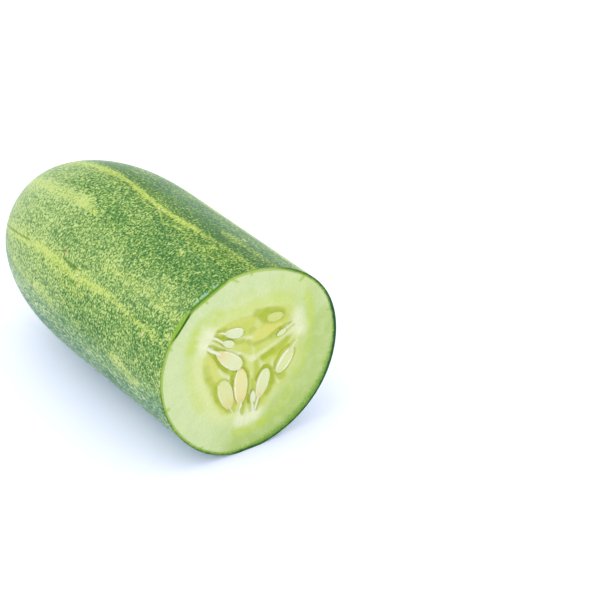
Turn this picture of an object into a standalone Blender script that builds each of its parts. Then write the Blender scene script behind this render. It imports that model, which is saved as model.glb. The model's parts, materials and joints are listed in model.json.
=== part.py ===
"""A cut cucumber lying on its side: a thin peel, the pale flesh with its cut face, and three clusters of seeds.

Lengths are in metres and angles in radians. The fruit is built in its own frame, with the centre of the cut
face at the origin, +X out of the cut, and angles round it counted from +Y towards +Z. An empty then puts the
middle of its underside at the world's origin.
"""

import math
import random
from collections import namedtuple

import bmesh
import bpy
from mathutils import Matrix, Vector

MM = 0.001

# The fruit's outer form.
LENGTH = 102 * MM
RADIUS = 27 * MM
ROUNDED_FROM = 0.54
END_FULLNESS = 2.4
LOBE_HEIGHT = 0.3 * MM
LOBE_TURN = math.radians(18)
WIDENING = 0.4 * MM
WIDEST_AT = math.radians(-16)
FLAT_DEPTH = 0.25 * MM

# The blossom end: a shallow dimple with a small button left by the flower.
DIMPLE_DEPTH = 1.2 * MM
DIMPLE_RADIUS = 3.6 * MM
BUTTON_HEIGHT = 0.8 * MM
BUTTON_RADIUS = 1.3 * MM

PEEL_THICKNESS = 0.9 * MM
GAP = 0.3 * MM

# Spine scars, low round bumps. Those on the side that the photograph shows are given by place, as
# (millimetres from the cut, degrees round). On the far side they stand in rows, and none is where it rests.
SCAR_RADIUS = 0.75 * MM
SCAR_HEIGHT = 0.3 * MM
SCARS_SEEN = [(11, 156), (20, 180), (44, 152), (18, 107), (41, 90), (17, 66)]
SCAR_ROWS_HIDDEN = [math.radians(a) for a in (220, 310, 345, 380)]
SCARS_PER_ROW = 2
SCAR_FIRST, SCAR_LAST = 8 * MM, 50 * MM
SCAR_STRAY = math.radians(4)

# The cut face. Three hubs of white tissue hold the seeds on stalks; thin septa run from them to the axis.
HUB_DISTANCE = 16.4 * MM
HUB_HALF = Vector((1.3, 1.5, 3.6)) * MM
HUB_SPREAD = 2.6 * MM
HUB_PROUD = 0.15 * MM
CHAMBER_RADIUS = 14.2 * MM
CHAMBER_DEPTH = 0.8 * MM
CHAMBER_TIP = 2.1 * MM
CHAMBER_CORNER = (12.7 * MM, math.radians(16))
SEPTUM_MIDDLE = (7.8 * MM, math.radians(7.7))
SEED_TAPER = 0.28
SEED_THICKNESS_SHARE = 0.4
SEED_ROLL_MOST = math.radians(10)
STALK_SHARE = 0.13
STALK_LEAST = 0.25 * MM
STALK_FOOT = 1.5
STALK_DEPTH = 0.4 * MM
STALK_SINK = 0.8 * MM

# One seed: the length of its stalk, the way the stalk leaves the hub and the way the seed points (both from
# the line between hub and axis), the seed's length and width, and how far its top stands out of the cut.
Seed = namedtuple("Seed", "stalk leaves points length width proud")
CLUSTERS = {
    "seed_cluster_left": (
        140,
        [
            Seed(5.5, 41, 24, 5.0, 2.9, 0.4),
            Seed(5.0, 15, 12, 3.3, 2.0, 0.3),
            Seed(5.4, -19, -2, 9.6, 3.9, 0.5),
            Seed(5.5, -53, -42, 7.5, 3.2, -0.2),
        ],
    ),
    "seed_cluster_right": (
        20,
        [
            Seed(7.0, -63, -18, 4.5, 2.9, 0.1),
            Seed(6.8, -37, -7, 7.8, 3.5, -0.1),
            Seed(4.0, -18, 1, 2.7, 1.3, 0.3),
            Seed(6.5, 53, 27, 7.8, 3.9, 0.5),
        ],
    ),
    "seed_cluster_low": (
        268,
        [
            Seed(7.7, 55, 12, 8.6, 4.1, 0.3),
            Seed(5.4, 33, -2, 10.0, 4.0, 0.5),
            Seed(5.3, -27, -22, 8.1, 3.8, 0.5),
            Seed(4.2, -8, -5, 3.0, 1.5, 0.4),
        ],
    ),
}

STEPS_ROUND = 48
POINTS_STRAIGHT = 3
POINTS_ROUNDED = 11
TIP_RADII = [r * MM for r in (3.6, 2.7, 1.9, 1.3, 0.8, 0)]
SEED_SIDES, SEED_RINGS = 12, 7
STALK_SIDES = 6
SCAR_SIDES, SCAR_RINGS = 8, 6

PEEL_COLOUR = (0.13, 0.30, 0.06, 1)
FLESH_COLOUR = (0.66, 0.79, 0.38, 1)
SEED_COLOUR = (0.84, 0.86, 0.56, 1)


def clear_scene():
    for thing in list(bpy.data.objects):
        bpy.data.objects.remove(thing, do_unlink=True)


def make_collection(name):
    found = bpy.data.collections.new(name)
    bpy.context.scene.collection.children.link(found)
    return found


def make_material(name, colour, roughness):
    material = bpy.data.materials.new(name)
    material.use_nodes = True
    shader = material.node_tree.nodes["Principled BSDF"]
    shader.inputs["Base Color"].default_value = colour
    shader.inputs["Roughness"].default_value = roughness
    shader.inputs["Metallic"].default_value = 0
    return material


def add_object(name, mesh, collection, material=None):
    made = bpy.data.objects.new(name, mesh)
    collection.objects.link(made)
    if material:
        made.data.materials.clear()
        made.data.materials.append(material)
    return made


def mesh_from_bmesh(name, bm):
    mesh = bpy.data.meshes.new(name)
    bm.to_mesh(mesh)
    bm.free()
    return mesh


def evaluated_mesh(thing):
    """The object's mesh with its modifiers applied."""
    graph = bpy.context.evaluated_depsgraph_get()
    return bpy.data.meshes.new_from_object(thing.evaluated_get(graph))


def section(angle):
    """Radius across the straight part of the fruit: three low lobes, and a little wider than tall."""
    lobes = LOBE_HEIGHT * math.cos(3 * (angle - LOBE_TURN))
    return RADIUS + lobes + WIDENING * math.cos(2 * (angle - WIDEST_AT))


def floor_height(inset):
    """Height of the flat underside from the axis, on a surface inset from the outer one."""
    angles = [2 * math.pi * i / 720 for i in range(720)]
    return min(section(angle) * math.sin(angle) for angle in angles) + FLAT_DEPTH + inset


def side_profile(inset):
    """Points (x, radius) from the cut to the blossom end, on a surface inset from the outer one."""
    straight = LENGTH * ROUNDED_FROM
    radius = RADIUS - inset
    rounded = LENGTH - straight - inset
    radii = [radius] * POINTS_STRAIGHT
    distances = [straight * i / POINTS_STRAIGHT for i in range(POINTS_STRAIGHT)]
    last_turn = math.acos((TIP_RADII[0] / radius) ** (END_FULLNESS / 2))
    for i in range(POINTS_ROUNDED):
        turn = last_turn * i / POINTS_ROUNDED
        radii.append(radius * math.cos(turn) ** (2 / END_FULLNESS))
    radii.extend(TIP_RADII)
    for r in radii[POINTS_STRAIGHT:]:
        reach = rounded * (1 - (r / radius) ** END_FULLNESS) ** (1 / END_FULLNESS)
        dimple = DIMPLE_DEPTH * math.exp(-((r / DIMPLE_RADIUS) ** 2))
        button = BUTTON_HEIGHT * math.exp(-((r / BUTTON_RADIUS) ** 4)) if inset == 0 else 0
        distances.append(straight + reach - dimple + button)
    return [(-distance, r) for distance, r in zip(distances, radii)]


def turned_mesh(name, profile, collection):
    """The profile turned about X by a Screw modifier."""
    bm = bmesh.new()
    verts = [bm.verts.new((x, r, 0)) for x, r in profile]
    for a, b in zip(verts, verts[1:]):
        bm.edges.new((a, b))
    thing = add_object(name, mesh_from_bmesh(name, bm), collection)
    screw = thing.modifiers.new("turn", "SCREW")
    screw.axis = "X"
    screw.steps = screw.render_steps = STEPS_ROUND
    screw.use_merge_vertices = True
    screw.merge_threshold = 0.00001
    mesh = evaluated_mesh(thing)
    bpy.data.objects.remove(thing)
    bm = bmesh.new()
    bm.from_mesh(mesh)
    bmesh.ops.remove_doubles(bm, verts=bm.verts, dist=0.00001)
    bmesh.ops.recalc_face_normals(bm, faces=bm.faces)
    bm.to_mesh(mesh)
    bm.free()
    return mesh


def shape_mesh(mesh, inset):
    """Gives a turned mesh the fruit's section, and its flat underside."""
    floor = floor_height(inset)
    for vertex in mesh.vertices:
        x, y, z = vertex.co
        grow = (section(math.atan2(z, y)) - inset) / (RADIUS - inset)
        vertex.co = (x, y * grow, max(z * grow, floor))


def scar_places():
    """Each scar as its distance from the cut and its angle."""
    places = [(along * MM, math.radians(degrees)) for along, degrees in SCARS_SEEN]
    draw = random.Random(5)
    pitch = (SCAR_LAST - SCAR_FIRST) / SCARS_PER_ROW
    for angle in SCAR_ROWS_HIDDEN:
        for i in range(SCARS_PER_ROW):
            along = SCAR_FIRST + pitch * (i + draw.random())
            places.append((along, angle + draw.uniform(-SCAR_STRAY, SCAR_STRAY)))
    return places


def make_scars(collection):
    """One low dome for each spine scar, half sunk in the peel."""
    for along, angle in scar_places():
        bm = bmesh.new()
        bmesh.ops.create_uvsphere(bm, u_segments=SCAR_SIDES, v_segments=SCAR_RINGS, radius=1)
        outward = Vector((0, math.cos(angle), math.sin(angle)))
        turn = outward.to_track_quat("Z", "Y").to_matrix().to_4x4()
        size = Matrix.Diagonal((SCAR_RADIUS, SCAR_RADIUS, SCAR_HEIGHT, 1))
        place = Matrix.Translation(outward * section(angle) - Vector((along, 0, 0)))
        bmesh.ops.transform(bm, matrix=place @ turn @ size, verts=bm.verts)
        add_object("scar", mesh_from_bmesh("scar", bm), collection)


def fuse(base, collection):
    """Joins every object of the collection to the base with one Boolean union, and removes them."""
    union = base.modifiers.new("join", "BOOLEAN")
    union.operation = "UNION"
    union.operand_type = "COLLECTION"
    union.collection = collection
    union.solver = "EXACT"
    joined = evaluated_mesh(base)
    base.modifiers.clear()
    base.data = joined
    for thing in list(collection.objects):
        bpy.data.objects.remove(thing)
    bpy.data.collections.remove(collection)


def smooth(thing, sharp_from=35):
    thing.data.shade_smooth()
    thing.data.set_sharp_from_angle(angle=math.radians(sharp_from))


def make_peel(collection, material):
    """The peel: the fruit's outer surface from the cut to the blossom end, thickened inwards."""
    mesh = turned_mesh("peel", side_profile(0), collection)
    shape_mesh(mesh, 0)
    peel = add_object("peel", mesh, collection, material)
    wall = peel.modifiers.new("thickness", "SOLIDIFY")
    wall.thickness = PEEL_THICKNESS
    wall.offset = -1
    wall.use_even_offset = True
    peel.data = evaluated_mesh(peel)
    peel.modifiers.clear()
    scars = make_collection("scars")
    make_scars(scars)
    fuse(peel, scars)
    smooth(peel)
    return peel


def hub_centre(hub_angle):
    return Vector((0, math.cos(hub_angle), math.sin(hub_angle))) * HUB_DISTANCE


def stalk_ends(hub_angle, seed):
    """Where a seed's stalk starts in its hub, and where it meets the seed's root."""
    leaves = math.radians(seed.leaves)
    tangent = Vector((0, -math.sin(hub_angle), math.cos(hub_angle)))
    start = hub_centre(hub_angle) - tangent * (HUB_SPREAD * math.sin(leaves))
    way = hub_angle + math.pi + leaves
    reach = Vector((0, math.cos(way), math.sin(way))) * (seed.stalk * MM)
    return start, hub_centre(hub_angle) + reach


def seed_height(seed):
    """How far the middle of the seed lies below the cut, along X."""
    return seed.proud * MM - seed.width * SEED_THICKNESS_SHARE * MM / 2


def make_seed(hub_angle, seed, roll, margin, collection):
    """A flat drop, narrow at its root, lying in the cut face."""
    way = hub_angle + math.pi + math.radians(seed.points)
    along = Vector((0, math.cos(way), math.sin(way)))
    out = Matrix.Rotation(roll, 3, along) @ Vector((1, 0, 0))
    across = out.cross(along)
    half = Vector((seed.length, seed.width, seed.width * SEED_THICKNESS_SHARE)) * MM / 2
    half += Vector((margin, margin, margin))
    root = stalk_ends(hub_angle, seed)[1]
    middle = root + along * (seed.length * MM / 2) + Vector((seed_height(seed), 0, 0))
    bm = bmesh.new()
    bmesh.ops.create_uvsphere(bm, u_segments=SEED_SIDES, v_segments=SEED_RINGS, radius=1)
    for vertex in bm.verts:
        a, b, c = vertex.co.z, vertex.co.x, vertex.co.y
        widen = 1 + SEED_TAPER * a
        vertex.co = middle + along * (a * half.x) + across * (b * half.y * widen) + out * (c * half.z)
    bmesh.ops.recalc_face_normals(bm, faces=bm.faces)
    add_object("seed", mesh_from_bmesh("seed", bm), collection)


def make_stalk(hub_angle, seed, margin, collection):
    """A tapered thread from the hub into the seed's root."""
    start, root = stalk_ends(hub_angle, seed)
    start.x = -STALK_DEPTH
    root.x = seed_height(seed)
    way = hub_angle + math.pi + math.radians(seed.points)
    end = root + Vector((0, math.cos(way), math.sin(way))) * STALK_SINK
    thin = max(STALK_LEAST, seed.width * STALK_SHARE * MM)
    bm = bmesh.new()
    bmesh.ops.create_cone(
        bm,
        cap_ends=True,
        segments=STALK_SIDES,
        radius1=thin * STALK_FOOT + margin,
        radius2=thin + margin,
        depth=(end - start).length,
    )
    turn = (end - start).to_track_quat("Z", "Y").to_matrix().to_4x4()
    bmesh.ops.transform(bm, matrix=Matrix.Translation((start + end) / 2) @ turn, verts=bm.verts)
    add_object("stalk", mesh_from_bmesh("stalk", bm), collection)


def make_cluster(name, margin, collection, material=None):
    """A hub with its stalks and seeds, fused in one solid and grown by a margin on every side."""
    degrees, seeds = CLUSTERS[name]
    hub_angle = math.radians(degrees)
    bm = bmesh.new()
    bmesh.ops.create_uvsphere(bm, u_segments=SEED_SIDES, v_segments=SEED_RINGS, radius=1)
    half = HUB_HALF + Vector((margin, margin, margin))
    lie = Matrix.Rotation(hub_angle, 4, "X") @ Matrix.Diagonal((*half, 1))
    centre = hub_centre(hub_angle) - Vector((HUB_HALF.x - HUB_PROUD, 0, 0))
    bmesh.ops.transform(bm, matrix=Matrix.Translation(centre) @ lie, verts=bm.verts)
    hub = add_object(name, mesh_from_bmesh(name, bm), collection, material)
    pieces = make_collection(name + "_pieces")
    draw = random.Random(degrees)
    for seed in seeds:
        roll = draw.uniform(-SEED_ROLL_MOST, SEED_ROLL_MOST)
        make_seed(hub_angle, seed, roll, margin, pieces)
        make_stalk(hub_angle, seed, margin, pieces)
    fuse(hub, pieces)
    smooth(hub)
    return hub


def chamber_outline(first, second):
    """Points round the hollow between two septa: out along one, round the wall, and back along the other."""
    middle = (first + second) / 2
    quarter = (second - first) / 4
    corner, off_hub = CHAMBER_CORNER
    along, off_septum = SEPTUM_MIDDLE
    places = [
        (CHAMBER_TIP, middle),
        (along, first + off_septum),
        (corner, first + off_hub),
        (CHAMBER_RADIUS, middle - quarter),
        (CHAMBER_RADIUS, middle),
        (CHAMBER_RADIUS, middle + quarter),
        (corner, second - off_hub),
        (along, second - off_septum),
    ]
    return [(r * math.cos(angle), r * math.sin(angle)) for r, angle in places]


def make_chamber_cutter(name, first, second, collection):
    """A cutter for the shallow hollow between two septa."""
    curve = bpy.data.curves.new(name, "CURVE")
    curve.dimensions = "2D"
    curve.fill_mode = "BOTH"
    curve.extrude = CHAMBER_DEPTH
    curve.resolution_u = 4
    outline = chamber_outline(first, second)
    spline = curve.splines.new("BEZIER")
    spline.bezier_points.add(len(outline) - 1)
    spline.use_cyclic_u = True
    for point, (y, z) in zip(spline.bezier_points, outline):
        point.co = (y, z, 0)
        point.handle_left_type = point.handle_right_type = "AUTO"
    flat = add_object(name, curve, collection)
    mesh = evaluated_mesh(flat)
    bpy.data.objects.remove(flat)
    bm = bmesh.new()
    bm.from_mesh(mesh)
    bmesh.ops.remove_doubles(bm, verts=bm.verts, dist=0.00001)
    # The outline's own axes become the fruit's Y and Z.
    stand = Matrix(((0, 0, 1, 0), (1, 0, 0, 0), (0, 1, 0, 0), (0, 0, 0, 1)))
    bmesh.ops.transform(bm, matrix=stand, verts=bm.verts)
    bmesh.ops.recalc_face_normals(bm, faces=bm.faces)
    bm.to_mesh(mesh)
    bm.free()
    return add_object(name, mesh, collection)


def cut(base, cutters):
    """Takes every object of the cutters' collection out of the base."""
    for cutter in cutters.objects:
        cutter.hide_render = True
        cutter.display_type = "WIRE"
    difference = base.modifiers.new("cut", "BOOLEAN")
    difference.operation = "DIFFERENCE"
    difference.operand_type = "COLLECTION"
    difference.collection = cutters
    difference.solver = "EXACT"


def make_flesh(collection, cutters, material):
    """The flesh inside the peel, with its cut face, three shallow chambers and a bed for each seed cluster."""
    inset = PEEL_THICKNESS + GAP
    side = side_profile(inset)
    mesh = turned_mesh("flesh", [(0, 0), *side], collection)
    shape_mesh(mesh, inset)
    flesh = add_object("flesh", mesh, collection, material)
    angles = sorted(math.radians(degrees) for degrees, _ in CLUSTERS.values())
    for i, first in enumerate(angles):
        second = angles[(i + 1) % len(angles)]
        if second < first:
            second += 2 * math.pi
        make_chamber_cutter(f"chamber_{i + 1}", first, second, cutters)
    for name in CLUSTERS:
        # The cluster grown by the gap cuts its bed out of the flesh.
        bed = make_cluster(name, GAP, cutters)
        bed.name = name + "_bed"
    cut(flesh, cutters)
    smooth(flesh)
    return flesh


def stand_on_origin(collection, pieces):
    """Hangs the pieces on an empty that puts the middle of their underside at the world's origin."""
    points = [vertex.co for piece in pieces for vertex in piece.data.vertices]
    low = Vector([min(point[axis] for point in points) for axis in range(3)])
    high = Vector([max(point[axis] for point in points) for axis in range(3)])
    place = bpy.data.objects.new("cut_centre", None)
    place.location = (-(low.x + high.x) / 2, -(low.y + high.y) / 2, -low.z)
    collection.objects.link(place)
    return place


def main():
    clear_scene()
    parts = make_collection("cucumber")
    cutters = make_collection("cutters")
    peel_green = make_material("peel", PEEL_COLOUR, 0.35)
    flesh_pale = make_material("flesh", FLESH_COLOUR, 0.3)
    seed_cream = make_material("seed", SEED_COLOUR, 0.4)
    pieces = [make_peel(parts, peel_green), make_flesh(parts, cutters, flesh_pale)]
    pieces += [make_cluster(name, 0, parts, seed_cream) for name in CLUSTERS]
    place = stand_on_origin(parts, pieces)
    for piece in [*pieces, *cutters.objects]:
        piece.parent = place


main()
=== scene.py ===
"""The looks of a cut cucumber: a mottled green peel, a moist cut face, and seeds that lie in their gel.

The file is laid out as an add-on and is run as a script. Lengths are in metres, or in millimetres where a
name or a comment says so. A place on the cut face is (y, z) in millimetres from the fruit's axis. A place on
the peel is (millimetres from the cut, degrees round the axis, counted from +Y towards +Z).
"""

import json
import math
import random
from collections import namedtuple

import bmesh
import bpy
import numpy as np
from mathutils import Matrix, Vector


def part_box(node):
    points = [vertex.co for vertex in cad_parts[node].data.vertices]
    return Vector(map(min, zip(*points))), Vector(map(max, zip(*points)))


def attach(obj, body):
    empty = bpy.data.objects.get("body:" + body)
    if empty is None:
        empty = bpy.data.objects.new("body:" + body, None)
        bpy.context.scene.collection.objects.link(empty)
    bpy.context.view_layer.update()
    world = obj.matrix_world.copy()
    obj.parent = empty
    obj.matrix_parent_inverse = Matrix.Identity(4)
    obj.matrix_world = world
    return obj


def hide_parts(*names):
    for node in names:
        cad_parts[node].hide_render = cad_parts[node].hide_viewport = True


bl_info = {
    "name": "Cut cucumber",
    "version": (1, 0, 0),
    "blender": (4, 5, 0),
    "location": "View3D > Sidebar > Cucumber",
    "description": "Makes the peel, flesh and seeds of a cut cucumber on its packed frame",
    "category": "Add Mesh",
}

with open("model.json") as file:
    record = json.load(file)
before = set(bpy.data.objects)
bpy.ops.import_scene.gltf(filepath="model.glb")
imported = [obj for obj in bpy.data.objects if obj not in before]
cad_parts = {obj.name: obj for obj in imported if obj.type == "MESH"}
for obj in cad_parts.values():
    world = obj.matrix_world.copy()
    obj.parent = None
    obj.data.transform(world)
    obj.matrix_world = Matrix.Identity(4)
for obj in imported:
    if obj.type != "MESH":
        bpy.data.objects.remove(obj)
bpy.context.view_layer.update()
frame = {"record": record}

MM = 0.001

# The frame: the middle of the cut face, and the fruit's size read from its solids.
MOUNTS = {mount["name"]: mount for mount in frame["record"]["mounts"]}
CUT = Vector(MOUNTS["cut_face"]["pos_m"])
PEEL_LOW, PEEL_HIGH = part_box("peel")
WIDTH_IN_RADII = 2.0362
RADIUS = (PEEL_HIGH.y - PEEL_LOW.y) / WIDTH_IN_RADII
TIP_DIP = 0.4 * MM
LENGTH = CUT.x - PEEL_LOW.x + TIP_DIP
FLOOR = -CUT.z

# The dimple in the blossom end and the flower's scar in it, in millimetres.
DIMPLE_RADIUS = 3.6
BUTTON_RADIUS = 1.3

# Points closer together than this are one point.
MERGED = 0.001 * MM

# How far the camera's axis passes from the middle of the cut, to the right and above it, in millimetres.
AIM_RIGHT = 12.784
AIM_UP = 15.657

# The section: its lobes as (count, height in millimetres, degrees at which one is highest).
LOBES = ((2, 0.4, -16), (3, 0.3, 18), (5, 0.12, 105.5))


def srgb(red, green, blue):
    """A screen colour, 0 to 255, as the linear colour that shaders take."""
    scaled = [channel / 255 for channel in (red, green, blue)]
    return tuple(c / 12.92 if c <= 0.04045 else ((c + 0.055) / 1.055) ** 2.4 for c in scaled)


# The light that falls on the piece, which turns a colour as it shows into the colour of the material.
LIGHT = (1.135, 1.21, 1.31)


def shown(red, green, blue):
    """The material colour that shows as this screen colour in the stage's light."""
    return tuple(c / light for c, light in zip(srgb(red, green, blue), LIGHT))


# A stroke paints a soft band along a path: how strong it is, half its width at its start and end, how far its
# edge fades, and the points that it passes through, all in millimetres.
Stroke = namedtuple("Stroke", "strength half soft path")


def strokes_from(*rows):
    """Strokes from rows of strength, half width at the start and at the end, fade, and the path's points."""
    return [Stroke(strength, (start, end), soft, path) for strength, start, end, soft, *path in rows]


# Core: the soft ground of the three chambers, round the pools, seeds and septa.
CORE = strokes_from(
    (0.75, 1.4, 3.2, 1.8, (-9.8, 9.4), (-5, 9.2), (0, 8.6), (5, 8.8), (10, 9.2)),
    (0.7, 1.2, 2.2, 1.8, (-11, 6), (-8, 2), (-5, -2), (-3.5, -6), (-3, -11)),
    (0.7, 1.6, 1.6, 1.8, (12.5, 2.5), (9, -1), (6.5, -4), (5, -8), (2.5, -12.5)),
    (0.6, 2.2, 1.8, 1.8, (-8.5, -4.5), (-7, -11)),
    (0.6, 2.6, 1.4, 1.6, (0.5, 3), (0.3, -2), (0.2, -9)),
    (0.5, 1.6, 1.4, 1.6, (-12, 4), (-11.4, -2.5)),
)

# Gel: the broad pools in the three chambers.
GEL = strokes_from(
    (0.85, 0.9, 1.1, 0.9, (-8.6, 11.6), (-6, 12.1), (-3, 12.3), (0, 12), (2, 11.4)),
    (0.8, 1, 1.6, 1, (-8, 9.8), (-5, 9.3), (-1, 10)),
    (0.8, 1.4, 1.4, 1, (-1, 9.8), (2, 9.6)),
    (0.7, 0.8, 1.6, 1, (-8, 7.6), (-4.5, 6.2), (-1.2, 4.6)),
    (0.65, 1.4, 1.2, 1.1, (1.5, 4), (5, 3.6), (8.5, 4.2)),
    (0.4, 0.8, 0.6, 1, (-1, 3), (2, 2.2), (5, 2.8)),
    (0.7, 1.6, 1.2, 1, (3.5, 12.2), (6.5, 11.5), (10, 10.2)),
    (0.5, 1.2, 0.8, 1.4, (6, 8.8), (10, 8.6), (12, 9.4)),
    (0.8, 0.9, 1, 0.9, (-10, 4), (-7.5, -0.6), (-4, -1.8)),
    (0.7, 0.9, 0.9, 0.8, (-2.2, 1.2), (-1.7, -1.5), (-0.9, -5)),
    (0.6, 0.6, 0.6, 0.8, (-0.8, -5), (-0.8, -12)),
    (0.6, 0.9, 0.9, 1, (-5.6, -3), (-5.4, -8), (-4.6, -12)),
    (0.75, 1, 1.4, 1, (3.6, -0.4), (7, 0.4), (11, 1.6)),
    (0.7, 1.6, 1.2, 1.2, (4, -2.4), (7, -2), (9, -0.6)),
    (0.6, 1, 1.4, 1.2, (7, -4), (7, -8), (9.5, -8.4)),
    (0.6, 1.2, 0.9, 1, (2, -2), (1.6, -6), (1.2, -9)),
    (0.45, 1.2, 1, 1.4, (5, -11), (3.5, -13)),
    (0.35, 0.8, 0.8, 1.5, (12, -6), (14.3, -2)),
    (0.35, 1.2, 1.2, 1.2, (-12.4, 4.6), (-12.2, 1), (-11.2, -2.2)),
    (0.5, 0.9, 0.8, 1, (-11, -4), (-10.6, -8), (-8, -12)),
)

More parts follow.
